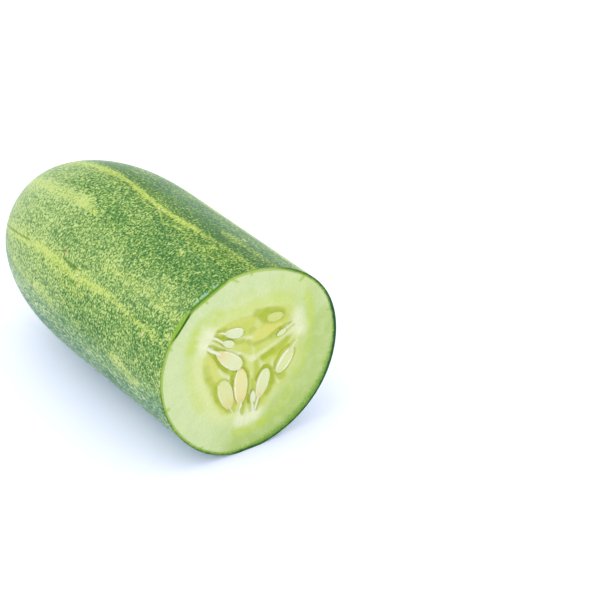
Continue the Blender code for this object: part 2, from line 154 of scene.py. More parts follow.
# Deep gel: the dark olive clefts round the seeds, partly the gel's own colour and partly painted shade in the
# clefts.
DEEP_GEL_AND_SHADE = strokes_from(
    (0.75, 0.12, 0.35, 0.45, (-12.3, 8.6), (-11, 8), (-9.9, 6.9)),
    (0.9, 0.35, 0.15, 0.35, (-10.1, 7), (-8.9, 6.4), (-7.6, 5.75)),
    (0.45, 0.12, 0.12, 0.35, (-7.6, 5.7), (-5.4, 4.5), (-3.7, 3), (-2.9, 1.9)),
    (0.8, 0.25, 0.4, 0.5, (-3, 2.4), (-2.2, 1.2), (-1.9, 0), (-2, -1.2)),
    (0.7, 0.05, 0.3, 0.4, (-12.6, 7.3), (-11.8, 6.3), (-10.8, 5)),
    (1, 0.35, 0.3, 0.45, (-10.6, 4.8), (-9.8, 3.4), (-8.9, 1.6), (-8.1, 0.5), (-7, -0.4)),
    (0.55, 0.35, 0.4, 0.6, (-7.6, -0.3), (-6.2, -1.2), (-4.8, -1.7)),
    (1, 0.3, 0.3, 0.4, (-4.8, -1.6), (-3.9, -1.5), (-2.4, -1.6), (-1.6, -2.2)),
    (0.7, 0.2, 0.35, 0.4, (-10.2, 10.9), (-9.2, 9.9), (-7.8, 9.4)),
    (0.6, 0.3, 0.25, 0.4, (-8.2, 9.9), (-7, 9.2), (-5.6, 8.3), (-4.9, 7.6)),
    (0.6, 0.15, 0.25, 0.35, (-5.5, 8.4), (-4, 8.2), (-2.5, 8.3), (-1.7, 9)),
    (0.55, 0.2, 0.35, 0.4, (-9.6, 11.9), (-8.2, 11.8), (-7.2, 11.8)),
    (0.55, 0.3, 0.5, 0.6, (-5.2, 8), (-4.5, 7.4), (-3.5, 6.9), (-2, 6.6)),
    (0.45, 0.15, 0.2, 0.4, (-10.6, 9.9), (-9, 8.6), (-7.4, 7), (-6.3, 6.2)),
    (0.5, 0.3, 0.3, 0.6, (-0.4, 6), (0.3, 5.2)),
    (0.7, 0.8, 1.1, 0.9, (2.4, 13.4), (3.8, 12.8), (5.2, 12.5)),
    (0.8, 0.9, 0.6, 0.8, (4.2, 11.6), (4.9, 10.6)),
    (0.75, 0.8, 0.5, 0.7, (5.5, 13), (7.5, 12.6), (9.2, 11.9), (10.5, 11)),
    (0.5, 0.2, 0.25, 0.5, (5.3, 9.9), (6.5, 9.3), (8, 8.9), (9.8, 9.1), (10.8, 9.6)),
    (0.6, 0.45, 0.3, 0.5, (1.4, 4.5), (3, 4.5), (5, 4.7), (6.8, 5.3)),
    (0.7, 0.3, 0.3, 0.45, (6.8, 5.4), (8.4, 6.2), (9.5, 6.4)),
    (0.65, 0.25, 0.15, 0.3, (9.5, 6.5), (11.3, 6.8), (13, 7)),
    (0.5, 0.5, 0.3, 0.7, (7, 4.7), (8.5, 4.9)),
    (0.5, 0.2, 0.15, 0.35, (11.2, 5), (12.5, 5.5), (13.8, 6.2)),
    (0.45, 0.2, 0.2, 0.4, (9, 4.3), (10.4, 4.3), (11.4, 4.9)),
    (0.45, 0.5, 0.5, 0.6, (0.6, 8.6), (1.5, 9)),
    (0.95, 0.55, 0.35, 0.8, (4.3, -0.4), (5.6, 0), (7.2, 0.5)),
    (0.6, 0.7, 0.5, 0.8, (7.4, 0.4), (9.4, 1.2), (11.5, 2.4)),
    (0.4, 0.6, 0.3, 0.8, (9, -0.4), (10.5, 0.8), (12.5, 3)),
    (0.5, 0.2, 0.15, 0.3, (12.3, 0.2), (13.2, 0.8), (14, 1.3)),
    (0.5, 0.5, 0.4, 0.6, (2.2, -1.3), (2.3, -3.2), (2, -5)),
    (0.85, 0.3, 0.3, 0.4, (2, -6.3), (2.8, -5), (3.6, -4.1), (4.6, -3.4)),
    (0.9, 0.4, 0.4, 0.5, (4.6, -3.4), (5.8, -3.8), (6.5, -5)),
    (1, 0.7, 0.9, 0.6, (6.7, -5.4), (6.9, -7), (6.8, -8.6)),
    (0.8, 0.6, 0.3, 0.7, (6.6, -8.8), (6.1, -10.3), (5.2, -11.5)),
    (0.5, 0.3, 0.2, 0.5, (5, -11.2), (4.2, -12), (3.4, -12.7)),
    (0.75, 0.25, 0.3, 0.35, (2.9, -13), (2.5, -14), (1.9, -15.2)),
    (0.8, 0.3, 0.3, 0.4, (-0.6, -10), (-0.5, -11.5), (-0.4, -12.3)),
    (0.5, 0.15, 0.2, 0.4, (-0.4, -12.3), (-0.3, -13.5), (-0.2, -15)),
    (0.6, 0.12, 0.15, 0.25, (1.5, -11.6), (1.2, -12.3), (1, -13.4)),
    (0.55, 0.3, 0.4, 0.4, (0.7, -6), (0.9, -8), (0.5, -9)),
    (0.7, 0.2, 0.25, 0.35, (7.7, -5), (7.9, -3.8), (8.7, -2.4), (9.8, -1), (11, -0.1), (12.2, 0.3)),
    (0.75, 0.25, 0.25, 0.4, (8, -6.6), (9.2, -7.3), (10.4, -6.9), (11.6, -5.9)),
    (0.6, 0.2, 0.2, 0.4, (11.6, -5.8), (12.9, -4.2), (13.9, -2.2), (14, -1.2)),
    (0.6, 0.6, 0.4, 0.7, (8.8, -7.6), (9.6, -8.2), (10.4, -8.1)),
    (0.95, 0.5, 0.4, 0.5, (-5.2, -2.7), (-5.5, -3.8), (-5.3, -5.2)),
    (0.6, 0.25, 0.2, 0.4, (-5.2, -5.2), (-5, -7.5), (-4.7, -9.5), (-4.1, -11.2)),
    (0.9, 0.45, 0.45, 0.5, (-1.6, -2.2), (-1, -3.2), (-0.7, -4.6)),
    (0.85, 0.35, 0.35, 0.4, (-0.7, -4.6), (-0.6, -6.8), (-0.8, -8.8)),
    (0.8, 0.3, 0.35, 0.4, (-0.9, -9), (-1.5, -10.8), (-2.1, -12)),
    (0.75, 0.45, 0.35, 0.5, (-2.3, -12.2), (-2.5, -13.6), (-2.6, -14.8)),
    (0.5, 0.6, 0.6, 0.8, (-11, -3.8), (-11.3, -5.2)),
    (0.85, 0.35, 0.4, 0.6, (-10.4, -4.5), (-10.6, -6.6), (-10.1, -8.4)),
    (0.75, 0.35, 0.25, 0.5, (-10, -8.5), (-9, -10.2), (-7.8, -11.6), (-6.8, -12.8)),
    (0.6, 0.2, 0.3, 0.4, (-9.8, -3.2), (-8.4, -2.8), (-7.4, -3.4), (-6.6, -4.6)),
    (0.35, 0.2, 0.2, 0.4, (-6.3, -5), (-6.1, -6)),
    (0.35, 0.4, 0.4, 0.6, (-5.3, -11.4), (-5.4, -13)),
    (0.4, 0.6, 0.6, 0.9, (-13.4, 2.5), (-13.2, 0.5), (-12.9, -0.8)),
    (0.55, 0.5, 0.5, 0.8, (-12.5, -1.2), (-11.9, -2.5)),
)

# Pale tissue: the three hubs, the septa that join them to the axis, and the thin membranes of the chambers.
PALE = strokes_from(
    (0.6, 0.4, 0.6, 3.4, (-12.8, 12.4), (-13, 11), (-13.4, 9.2)),
    (0.6, 0.3, 0.2, 0.6, (-12.2, 11.8), (-11.2, 10.9), (-10.2, 10.2)),
    (0.6, 0.3, 0.2, 0.6, (-13.2, 8.9), (-12.2, 7.9), (-11.2, 6.6)),
    (0.5, 0.3, 0.2, 0.9, (-12.6, 12.9), (-11.6, 11.9), (-10.9, 10.8)),
    (0.6, 0.5, 0.3, 0.8, (-14.5, 9.5), (-13.2, 8.9), (-12.8, 8.4)),
    (0.55, 0.3, 0.6, 3, (14.8, 8.8), (15.5, 6.8), (16.3, 4.6)),
    (0.5, 0.2, 0.2, 0.6, (15, 8), (13.6, 7.1), (12, 6.4)),
    (0.35, 0.15, 0.15, 0.5, (15.6, 5), (14, 3.2), (12.4, 1.5)),
    (0.35, 0.15, 0.15, 0.5, (16, 4.2), (14.8, 2.4), (13.6, 0.8)),
    (0.5, 0.4, 0.3, 0.6, (16.2, 4.6), (15.2, 3.2)),
    (0.75, 0.4, 0.7, 2.8, (-3.6, -16.8), (-1, -17), (1.2, -16.4)),
    (0.5, 0.15, 0.3, 0.4, (-0.6, -14.6), (-0.9, -16.2), (-1.4, -18.2)),
    (0.4, 0.15, 0.3, 0.4, (-2.6, -14.8), (-2.6, -16.4), (-3.2, -18)),
    (0.5, 0.15, 0.3, 0.4, (0.9, -15.2), (1.2, -16.8), (1.4, -18)),
    (0.2, 0.1, 0.25, 0.6, (-13, 10.4), (-14.6, 11.4), (-16, 12.6)),
    (0.2, 0.1, 0.25, 0.6, (-13, 10), (-14.8, 10), (-16.4, 10.2)),
    (0.2, 0.1, 0.25, 0.6, (-12.8, 12), (-13.4, 13.8), (-14.2, 15.2)),
    (0.4, 0.5, 0.3, 0.9, (-3.4, -15.8), (-3.5, -13.4), (-3.4, -12.2)),
    (0.6, 0.4, 0.5, 0.7, (0.4, -16.8), (0.6, -15.6)),
    (0.35, 0.3, 0.3, 0.8, (-4, -14.5), (-3.8, -16)),
    (0.5, 0.2, 0.2, 0.6, (-11.2, 8.9), (-8.8, 7), (-6.4, 5.4), (-4.4, 4), (-3, 3)),
    (0.45, 0.25, 0.4, 0.9, (-3.2, 3.1), (-1.6, 1.9), (0, 0.9), (0.9, 0.5)),
    (0.4, 0.4, 0.3, 1, (0.8, 0.5), (2.6, 0.8), (4.6, 1.2)),
    (0.3, 0.3, 0.35, 1.1, (4.6, 1.3), (6.6, 1.9), (9, 2.8), (11, 3.6), (13, 4.4)),
    (0.12, 0.3, 0.15, 0.9, (0.2, 0.2), (0.3, -1.5), (0.4, -4)),
    (0.25, 0.15, 0.15, 0.5, (0.4, -4), (0, -7), (-0.2, -9.5), (-0.1, -12)),
    (0.3, 0.8, 1.2, 1.4, (11.5, 4.4), (13.5, 5.2)),
    (0.5, 0.15, 0.25, 0.75, (-4.9, 8), (-3, 7.6), (-1.2, 7.2), (0.6, 6.7)),
    (0.3, 0.1, 0.1, 0.8, (0.2, 6.9), (0.9, 6.2), (1.1, 4.5), (1.15, 2.6), (1.1, 1.2)),
    (0.22, 0.4, 0.5, 1.2, (1.4, 7.2), (2.4, 9.4), (3, 10.6)),
    (0.5, 0.35, 0.3, 0.6, (-9.3, 0.4), (-8, -1.4), (-6.6, -2.7)),
    (0.55, 0.15, 0.2, 0.35, (-6.6, -2.7), (-6, -3.6), (-5.9, -5), (-5.6, -6.6)),
    (0.4, 0.12, 0.1, 0.25, (-6.3, -2.9), (-5.4, -2.4), (-4.5, -2.1)),
    (0.3, 0.2, 0.2, 0.4, (-5.6, -6.6), (-5.3, -8.5), (-4.9, -10)),
    (0.4, 0.1, 0.12, 0.35, (7, -3.2), (7.4, -5), (7.8, -7), (8.4, -8.7), (9, -9.8)),
    (0.25, 0.1, 0.1, 0.3, (8, -7), (8.8, -8.8), (9.6, -9.5)),
    (0.35, 0.5, 0.4, 0.7, (3.2, -1.4), (4, -2.8)),
    (0.35, 0.3, 0.3, 0.6, (7.2, -2.4), (6.8, -3.4)),
)

# Amber: gel and seeds that show through it, warmer than the rest.
AMBER = strokes_from(
    (0.9, 1.3, 1.5, 0.9, (2.6, 6.6), (5.2, 6.9), (8.2, 7.4)),
    (0.45, 1, 0.8, 1, (-12, 4.4), (-11.2, 1.2), (-10.5, -1.5)),
    (0.35, 0.5, 0.5, 0.7, (5, 12), (5, 10.8)),
)

# Lime: the yellow-green ring of veins outside the hubs.
LIME = strokes_from(
    (0.55, 0.5, 0.4, 1.8, (-16, 13.5), (-17.2, 11), (-17.6, 9.4)),
    (0.5, 1, 1.4, 2.4, (-18, 10), (-15, 14.4), (-10.5, 16.4)),
    (0.35, 0.5, 0.5, 2, (-17.6, 10), (-18.6, 5), (-18, -2), (-15.5, -9)),
    (0.75, 0.3, 0.3, 1.8, (18, 13), (19.2, 9.5), (18.6, 5.5)),
    (0.4, 0.6, 0.6, 2, (18.6, 4.5), (17.8, -2), (15, -8)),
    (0.85, 0.3, 0.3, 2.1, (-4.6, -19.8), (-2, -20.2), (3.5, -19.4)),
    (0.4, 0.6, 0.6, 2, (3.5, -19.4), (9.5, -16.6), (13, -12)),
    (0.45, 0.8, 0.8, 2.2, (-9, 15.6), (-2, 15.6), (6, 16.2), (12, 14.5)),
    (0.3, 2, 2, 4, (10, 18.5), (16, 15.5)),
    (0.25, 0.5, 0.5, 1.8, (-3.5, 19.6), (1, 20.4)),
    (0.6, 0.2, 0.2, 0.5, (9.6, -0.8), (10.1, -0.4)),
)

# Greener, darker flesh towards the lower right: partly the flesh's own tone and partly painted shade.
GREEN_AND_SHADE = strokes_from(
    (0.45, 2, 3, 7, (20, 12), (22, 4)),
    (0.85, 2, 4.5, 7, (22, 2), (20, -9), (13, -18)),
    (0.9, 3.5, 2.5, 5, (13, -19), (4, -24), (-3, -25)),
    (0.35, 2, 2, 5, (-7, -20), (2, -21)),
)

# Veins just under the peel: degrees round, millimetres from the rim to the inner end, half width, and lean in
# degrees.
VEIN_MARKS = (
    (15, 1.9, 0.5, 1),
    (48.5, 2.3, 0.7, 1),
    (88, 1.3, 0.5, 0),
    (101.5, 2.1, 0.3, -4),
    (120.6, 2.0, 0.4, 0),
    (153, 1.5, 0.3, 1),
    (192.2, 1.5, 0.8, 0),
    (232.5, 1.3, 0.4, 1),
    (265.5, 2.0, 0.6, 0),
    (302, 1.5, 0.6, 0),
    (342.5, 2.8, 0.5, -3),
)

# The peel's edge in the cut: degrees round, how dark its line is, the line's width and how far it fades
# inwards.
RIM_LOOK = (
    (-97, 1.0, 0.6, 2.0),
    (-80, 0.9, 0.45, 3.2),
    (-57, 0.95, 0.45, 4.0),
    (-37, 0.95, 0.5, 3.8),
    (-25, 1.0, 0.7, 2.8),
    (0, 1.0, 0.7, 1.4),
    (15, 1.0, 0.7, 1.2),
    (28, 0.8, 0.45, 0.8),
    (60, 0.7, 0.3, 0.9),
    (75, 0.2, 0.15, 0.5),
    (103, 0.2, 0.15, 0.5),
    (108, 0.15, 0.3, 0.6),
    (128, 0.15, 0.3, 0.6),
    (134, 0.95, 0.55, 0.6),
    (146, 0.9, 0.4, 0.6),
    (151, 0.1, 0.1, 0.9),
    (175, 0.2, 0.15, 0.8),
    (186, 0.6, 0.25, 0.7),
    (205, 0.5, 0.2, 0.8),
    (215, 0.5, 0.2, 0.8),
    (240, 0.7, 0.3, 1.2),
    (252, 0.5, 0.3, 1.4),
    (263, 1.0, 0.6, 1.3),
)

# Where the knife slipped over the edge: from and to in degrees, how far the edge is worn back in millimetres,
# and how much of that shows as a clean green band.
WORN_EDGES = ((103, 132, 1.25, 0.5), (130, 151, 0.8, 1.0))

# The worn edge's slope: its length along the peel as a share of its depth, and how far below the skin it is
# still felt, in millimetres.
WORN_LENGTH = 1.1
WORN_BELOW = 4

# Light stripes of the peel on the side that is seen, as strokes over (distance, degrees).
STRIPES = strokes_from(
    (0.45, 0.2, 0.4, 1, (0, 85.5), (12, 85), (20, 86), (30, 87)),
    (0.9, 0.3, 0.5, 1, (26, 87), (42, 89), (60, 86), (75, 88), (92, 94)),
    (0.45, 0.6, 2, 2.4, (66, 87), (80, 90), (96, 96)),
    (0.55, 0.1, 0.3, 1, (3, 153.5), (14, 152), (30, 150)),
    (0.8, 0.3, 0.5, 1.2, (30, 150), (46, 153), (60, 152), (78, 156), (98, 164)),
    (0.3, 0.8, 1.6, 3, (40, 151), (60, 152), (90, 160)),
    (0.5, 0.1, 0.7, 1.6, (53, 118), (62, 117), (74, 120), (96, 122)),
    (0.28, 0.6, 1.2, 2.6, (58, 117), (66, 118.5), (74, 120), (90, 122)),
    (0.4, 0.6, 0.2, 1.6, (58, 115), (64, 112.5)),
    (0.3, 0.5, 0.4, 2, (0, 138), (18, 136), (36, 138)),
    (0.55, 1, 0.6, 1.8, (13, 186), (23, 181)),
    (0.18, 0.6, 0.6, 2, (12, 190), (34, 192), (60, 189), (80, 187)),
    (0.45, 0.6, 0.8, 1.4, (16, 74), (21, 73)),
    (0.35, 0.5, 0.5, 1.4, (0, 72), (24, 71)),
    (0.4, 0.6, 0.6, 1.8, (54, 176), (68, 173), (86, 170)),
    (0.4, 0.4, 0.4, 1.5, (40, 160), (50, 160), (58, 156)),
    (0.15, 1, 2, 2.5, (60, 58), (80, 66), (96, 76)),
)

# Broad bands that are darker or lighter than the rest of the peel.
DARK_BANDS = strokes_from(
    (0.28, 3, 1.5, 5, (0, 112), (16, 108), (34, 105)),
    (0.35, 1.5, 1.2, 3.5, (0, 97), (10, 97)),
    (0.5, 2.5, 1.5, 4, (0, 77), (34, 76)),
    (0.5, 2.5, 0.2, 6.5, (0, 75), (40, 75), (78, 78)),
    (0.45, 2.5, 0.2, 6, (0, 63), (40, 62), (74, 64)),
    (0.12, 2.5, 2.5, 4, (0, 198), (40, 200), (70, 198)),
    (0.5, 1.5, 2.5, 5, (84, 172), (96, 176)),
)
PALE_BANDS = strokes_from(
    (0.2, 2, 2, 6, (0, 132), (16, 134)),
    (0.2, 2, 4, 7, (20, 140), (36, 138), (60, 136), (90, 136)),
    (0.3, 6, 12, 14, (86, 120), (96, 120)),
    (0.25, 6, 8, 12, (70, 140), (92, 144)),
    (0.3, 3, 4, 7, (55, 170), (82, 176)),
    (0.4, 0.8, 2, 3.5, (58, 117), (74, 120), (92, 122)),
    (0.15, 3, 6, 8, (76, 92), (92, 104)),
)

# Warmer, less blue green along the top: painted light, for the neutral light that falls on the top from
# above.
WARM = strokes_from(
    (0.9, 4, 0.2, 7, (-10, 84), (20, 86), (46, 84), (72, 84)),
)

# Teal green low on both flanks and underneath: partly the waxy bloom, and partly painted shade and painted
# reflection of the pale floor.
BLOOM_AND_SHADE = strokes_from(
    (0.9, 4, 6, 12, (-10, 206), (30, 208), (60, 204), (80, 202)),
    (0.5, 9, 8, 14, (-10, 248), (74, 248)),
    (0.5, 9, 8, 14, (-10, -68), (74, -68)),
    (0.45, 3, 4, 14, (-10, -28), (70, -26)),
)

# Painted highlights: wet glints on the worn edge.
GLINTS = strokes_from(
    (0.6, 0.04, 0.08, 0.22, (0.7, 109.5), (0.75, 112.5)),
    (0.85, 0.03, 0.1, 0.22, (0.7, 116.5), (0.8, 118.5), (0.85, 120.5)),
    (0.7, 0.1, 0.02, 0.22, (0.85, 123.2), (0.8, 126)),
)

# Small brown dots.
DOTS = strokes_from(
    (1, 0.28, 0.28, 0.4, (53, 145), (53.3, 145)),
    (0.6, 0.12, 0.12, 0.35, (42.6, 155.5), (43, 155.6)),
    (0.5, 0.12, 0.12, 0.35, (36, 171), (36.4, 171)),
)

# Thin dark marks on the peel.
MARKS = strokes_from(
    (0.9, 0.08, 0.16, 0.2, (0.1, 103), (0.25, 108), (0.35, 116), (0.35, 124), (0.2, 130)),
    (1, 0.02, 0.08, 0.4, (70, 153), (76, 155), (82, 157), (92, 161.5)),
    (0.8, 0.3, 0.25, 0.6, (45.6, 149.4), (50.4, 148.8)),
)

# Spine scars on the side that is seen: distance, degrees, size in millimetres.
SCARS = (
    (1.3, 147.8, 0.85),
    (11, 156, 0.9),
    (20, 180, 1.2),
    (17.5, 66, 1.1),
    (18.8, 107, 0.6),
    (41, 90, 1.1),
    (44, 152, 0.9),
    (61.5, 174, 0.8),
    (62, 116, 0.8),
)

# Spine scars on the hidden side: the rows' degrees, the scars in a row, and in millimetres the first one's
# distance, the step to the next, and how far one strays.
SCAR_ROWS_HIDDEN = (222, 256, 290, 322, 356, 32)
SCARS_PER_ROW = 3
SCAR_FIRST = 10
SCAR_STEP = 27
SCAR_STRAY = 16

# A scar's cap: its radius and how deep it is sunk, as shares of the scar's size.
SCAR_CAP = 0.62
SCAR_SUNK = 0.06

# One seed: where it starts and ends, its width, how far its top stands out, how pointed its root and its tip
# are, how deep it lies in gel from 0 to 1, how amber it is, and the half widths and the points of its stalk,
# from the hub.
Seed = namedtuple("Seed", "root tip width proud root_power tip_power film amber half stalk")


def seeds_from(*rows):
    """Seeds from rows that end with the points of the stalk."""
    return [Seed(*row[:9], row[9:]) for row in rows]


SEEDS_LEFT = seeds_from(
    ((-7.5, 10.75), (-1.9, 9.15), 3.05, 0.45, 0.6, 0.42, 0, 0, (0.15, 0.4), (-9.4, 11.5), (-8.4, 11.2)),
    ((-8.3, 8.4), (-4.9, 6.55), 2.1, 0.35, 0.6, 0.45, 0.1, 0, (0.4, 0.25), (-11.4, 10.9), (-9.7, 9.7)),
    ((-10.2, 6), (-2.6, -0.9), 4.3, 0.5, 0.68, 0.44, 0, 0.16, (0.5, 0.45), (-13.2, 8.6), (-11.7, 7)),
    ((-12.7, 6.4), (-11.3, -2.6), 3.2, -0.2, 0.6, 0.55, 0.93, 0.5, (0.2, 0.2), (-13, 9)),
)
SEEDS_RIGHT = seeds_from(
    ((10.7, 10.1), (5.6, 10.6), 2.75, 0.12, 0.55, 0.45, 0.7, 0, (0.08, 0.12), (13.2, 8.9), (12.1, 9.5)),
    ((10.2, 7.7), (1.2, 5.8), 3.6, -0.15, 0.6, 0.6, 0.95, 1, (0.2, 0.2), (14, 8.3)),
    ((11.4, 5.9), (8.4, 4.75), 1.4, 0.3, 0.55, 0.55, 0.1, 0, (0.35, 0.16), (15.2, 7.7), (13.1, 6.6)),
    ((13.4, -0.4), (8.5, -6.5), 3.8, 0.5, 0.5, 0.45, 0, 0.2, (0.1, 0.3), (15.2, 1.8), (14.2, 0.6)),
)
SEEDS_LOW = seeds_from(
    ((-6.1, -12.6), (-8.7, -3), 4.5, 0.3, 0.62, 0.46, 0.25, 0.3, (0.1, 0.2), (-4.8, -14.8)),
    ((-3.05, -12.2), (-2.9, -1.3), 4.3, 0.5, 0.62, 0.52, 0, 0.7, (0.2, 0.4), (-3.9, -14.6), (-3.45, -13.1)),
    ((2.2, -12.2), (5.2, -4), 3.9, 0.5, 0.58, 0.46, 0.06, 0.1, (0.3, 0.45), (1.1, -15.5), (1.7, -13.8)),
    ((0.55, -12.7), (0.7, -9.1), 1.75, 0.4, 0.42, 0.6, 0, 0, (0.4, 0.28), (0.7, -15.7), (0.6, -14.2)),
)
SEEDS = {"seed_cluster_left": SEEDS_LEFT, "seed_cluster_right": SEEDS_RIGHT, "seed_cluster_low": SEEDS_LOW}

# A seed's mesh: its stations from root to tip, and the points round each.
SEED_STATIONS = 46
SEED_ROUNDS = 48

# The low rim round a seed: its height in millimetres, then its place and its half width as shares of half the
# seed's width.
RIM_HEIGHT = 0.1
RIM_AT = 0.86
RIM_HALF = 0.1

# The seed that the knife opened: its cluster and its place there.
OPEN_SEED = ("seed_cluster_right", 3)


def smoothstep(low, high, values):
    """0 below low, 1 above high, and smooth between them."""
    t = np.clip((np.asarray(values, float) - low) / (high - low), 0, 1)
    return t * t * (3 - 2 * t)


def smooth_path(points, per_span=6):
    """A curve through the points, as closely spaced points."""
    points = np.asarray(points, float)
    if len(points) < 3:
        return points
    ends = np.vstack([2 * points[0] - points[1], points, 2 * points[-1] - points[-2]])
    found = []
    for a, b, c, d in zip(ends, ends[1:], ends[2:], ends[3:]):
        for i in range(per_span):
            t = i / per_span
            bend = 2 * b + (c - a) * t + (2 * a - 5 * b + 4 * c - d) * t**2
            found.append(0.5 * (bend + (3 * b - a - 3 * c + d) * t**3))
    found.append(points[-1])
    return np.array(found)


def coverage(places, strokes, core=1.0, spread=1.0):
    """How much of each place the strokes cover, from 0 to 1, their cores narrowed and their fades widened."""
    left = np.ones(len(places))
    for stroke in strokes:
        path = smooth_path(stroke.path)
        halves = [half * core for half in stroke.half]
        soft = stroke.soft * spread
        reach = max(halves) + soft
        near = np.all((places > path.min(axis=0) - reach) & (places < path.max(axis=0) + reach), axis=1)
        if not near.any():
            continue
        spot = places[near]
        outside = np.full(len(spot), np.inf)
        for i, (a, b) in enumerate(zip(path, path[1:])):
            t = np.clip((spot - a) @ (b - a) / ((b - a) @ (b - a)), 0, 1)
            away = np.linalg.norm(spot - a - t[:, None] * (b - a), axis=1)
            half = np.interp((i + t) / (len(path) - 1), (0, 1), halves)
            outside = np.minimum(outside, away - half)
        left[near] *= 1 - stroke.strength * smoothstep(-soft, 0, -outside)
    return 1 - left


def section(angle):
    """The fruit's radius in millimetres at an angle, across its straight part."""
    radius = np.full(np.shape(angle), RADIUS / MM)
    for count, height, highest in LOBES:
        radius = radius + height * np.cos(count * (angle - math.radians(highest)))
    return radius


def outline(angle):
    """The radius of the cut's outline in millimetres, with its small flat underneath."""
    down = np.minimum(np.sin(angle), -0.001)
    return np.minimum(section(angle), np.where(np.sin(angle) < -0.5, FLOOR / MM / down, np.inf))


def on_peel(distance, degrees):
    """A place, or many, on the peel unrolled flat, in millimetres."""
    return distance, np.radians(degrees) * RADIUS / MM


def unrolled(strokes):
    """Strokes over (distance, degrees) as strokes on the peel unrolled flat."""
    return [stroke._replace(path=tuple(on_peel(*place) for place in stroke.path)) for stroke in strokes]


def rim_look(angle):
    """The dark line's strength and width, and the fade's reach, at each angle round the rim."""
    table = np.array(RIM_LOOK)
    degrees = np.degrees(angle)
    return [np.interp(degrees, table[:, 0], table[:, k], period=360) for k in (1, 2, 3)]


def worn_back(angle):
    """How far the peel's edge is worn back at each angle, and how broad its green band is, in millimetres."""
    worn = np.zeros(np.shape(angle))
    degrees = np.degrees(angle) % 360
    band = np.zeros(np.shape(angle))
    for start, end, depth, share in WORN_EDGES:
        t = np.clip((degrees - start) / (end - start), 0, 1)
        worn = worn + depth * np.sin(math.pi * t) ** 0.7
        band = band + depth * share * np.sin(math.pi * t) ** 0.7
    return worn, band


class Value:
    """A socket that takes part in sums: each operator adds its Math node."""

    def __init__(self, graph, socket):
        self.graph = graph
        self.socket = socket

    def sum(self, operation, *others):
        return self.graph.maths(operation, self, *others)

    def __add__(self, other):
        return self.sum("ADD", other)

    __radd__ = __add__

    def __sub__(self, other):
        return self.sum("SUBTRACT", other)

    def __rsub__(self, other):
        return self.graph.maths("SUBTRACT", other, self)

    def __mul__(self, other):
        return self.sum("MULTIPLY", other)

    __rmul__ = __mul__

    def __truediv__(self, other):
        return self.sum("DIVIDE", other)

    def __rtruediv__(self, other):
        return self.graph.maths("DIVIDE", other, self)

    def __pow__(self, other):
        return self.sum("POWER", other)

    def clamped(self):
        return self.graph.node("ShaderNodeClamp", {}, {"Value": self})

    def beside(self, name):
        """Another output of the same node."""
        return Value(self.graph, self.socket.node.outputs[name])

    def smooth(self, low, high):
        """0 below low, 1 above high, and smooth between them."""
        settings = {"interpolation_type": "SMOOTHSTEP"}
        span = {"Value": self, "From Min": low, "From Max": high}
        return self.graph.node("ShaderNodeMapRange", settings, span)


class Graph:
    """A node tree that is written as Python expressions."""

    def __init__(self, tree):
        self.tree = tree

    def node(self, kind, settings=None, inputs=None, out=0):
        """Adds a node with its settings, then feeds its sockets, and returns one output."""
        made = self.tree.nodes.new(kind)
        for key, value in (settings or {}).items():
            setattr(made, key, value)
        for key, value in (inputs or {}).items():
            if isinstance(value, Value):
                self.tree.links.new(value.socket, made.inputs[key])
            else:
                made.inputs[key].default_value = value
        return Value(self, made.outputs[out])

    def maths(self, operation, *values):
        return self.node("ShaderNodeMath", {"operation": operation}, dict(enumerate(values)))

    def mix(self, factor, a, b):
        """Colour a where the factor is 0, and b where it is 1."""
        a, b = (colour if isinstance(colour, Value) else (*colour, 1) for colour in (a, b))
        return self.node("ShaderNodeMix", {"data_type": "RGBA"}, {0: factor, 6: a, 7: b}, out=2)

    def attribute(self, name):
        return self.node("ShaderNodeAttribute", {"attribute_name": name}, out="Fac")

    def painted(self, base, *layers):
        """The base colour under layers of paint, each an attribute's name, its strength and its colour."""
        for name, strength, colour in layers:
            base = self.mix(self.attribute(name) * strength, base, tuple(colour))
        return base

    def stretched(self, vector, scale):
        return self.node("ShaderNodeMapping", {}, {"Vector": vector, "Scale": scale})

    def noise(self, vector, scale, detail=2, roughness=0.5, distortion=0):
        inputs = {"Vector": vector, "Scale": scale, "Detail": detail}
        inputs.update({"Roughness": roughness, "Distortion": distortion})
        return self.node("ShaderNodeTexNoise", {}, inputs)


def new_material(name, **constants):
    """A Principled material, its graph, its shader, and the place in millimetres from the cut's middle."""
    material = bpy.data.materials.new(name)
    material.use_nodes = True
    graph = Graph(material.node_tree)
    shader = material.node_tree.nodes["Principled BSDF"]
    for key, value in constants.items():
        shader.inputs[key.replace("_", " ")].default_value = value
    place = graph.node("ShaderNodeTexCoord", out="Object")
    centred = {"Vector": place, "Location": -CUT / MM, "Scale": (1 / MM,) * 3}
    return material, graph, shader, graph.node("ShaderNodeMapping", {}, centred)


def feed(graph, shader, **inputs):
    """Links values to the shader's sockets of the same names."""
    for key, value in inputs.items():
        graph.tree.links.new(value.socket, shader.inputs[key.replace("_", " ")])


def bump(graph, height, distance, strength=1.0):
    return graph.node("ShaderNodeBump", {}, {"Height": height, "Distance": distance, "Strength": strength})


def make_object(name, mesh, material):
    """A finished piece in the scene, shaded smooth, at the origin."""
    piece = bpy.data.objects.new(name, mesh)
    bpy.context.scene.collection.objects.link(piece)
    mesh.materials.clear()
    mesh.materials.append(material)
    mesh.shade_smooth()
    return piece


def face_outwards(mesh, merging=True):
    """Merges the points that meet, where they aren't merged yet, and turns every face outwards."""
    bm = bmesh.new()
    bm.from_mesh(mesh)
    if merging:
        bmesh.ops.remove_doubles(bm, verts=bm.verts, dist=MERGED)
    bmesh.ops.recalc_face_normals(bm, faces=bm.faces)
    bm.to_mesh(mesh)
    bm.free()


def mesh_from_points(name, points_mm, faces):
    """A mesh from points in millimetres from the middle of the cut."""
    mesh = bpy.data.meshes.new(name)
    mesh.from_pydata((np.asarray(points_mm) * MM + np.array(CUT)).tolist(), [], faces)
    return mesh


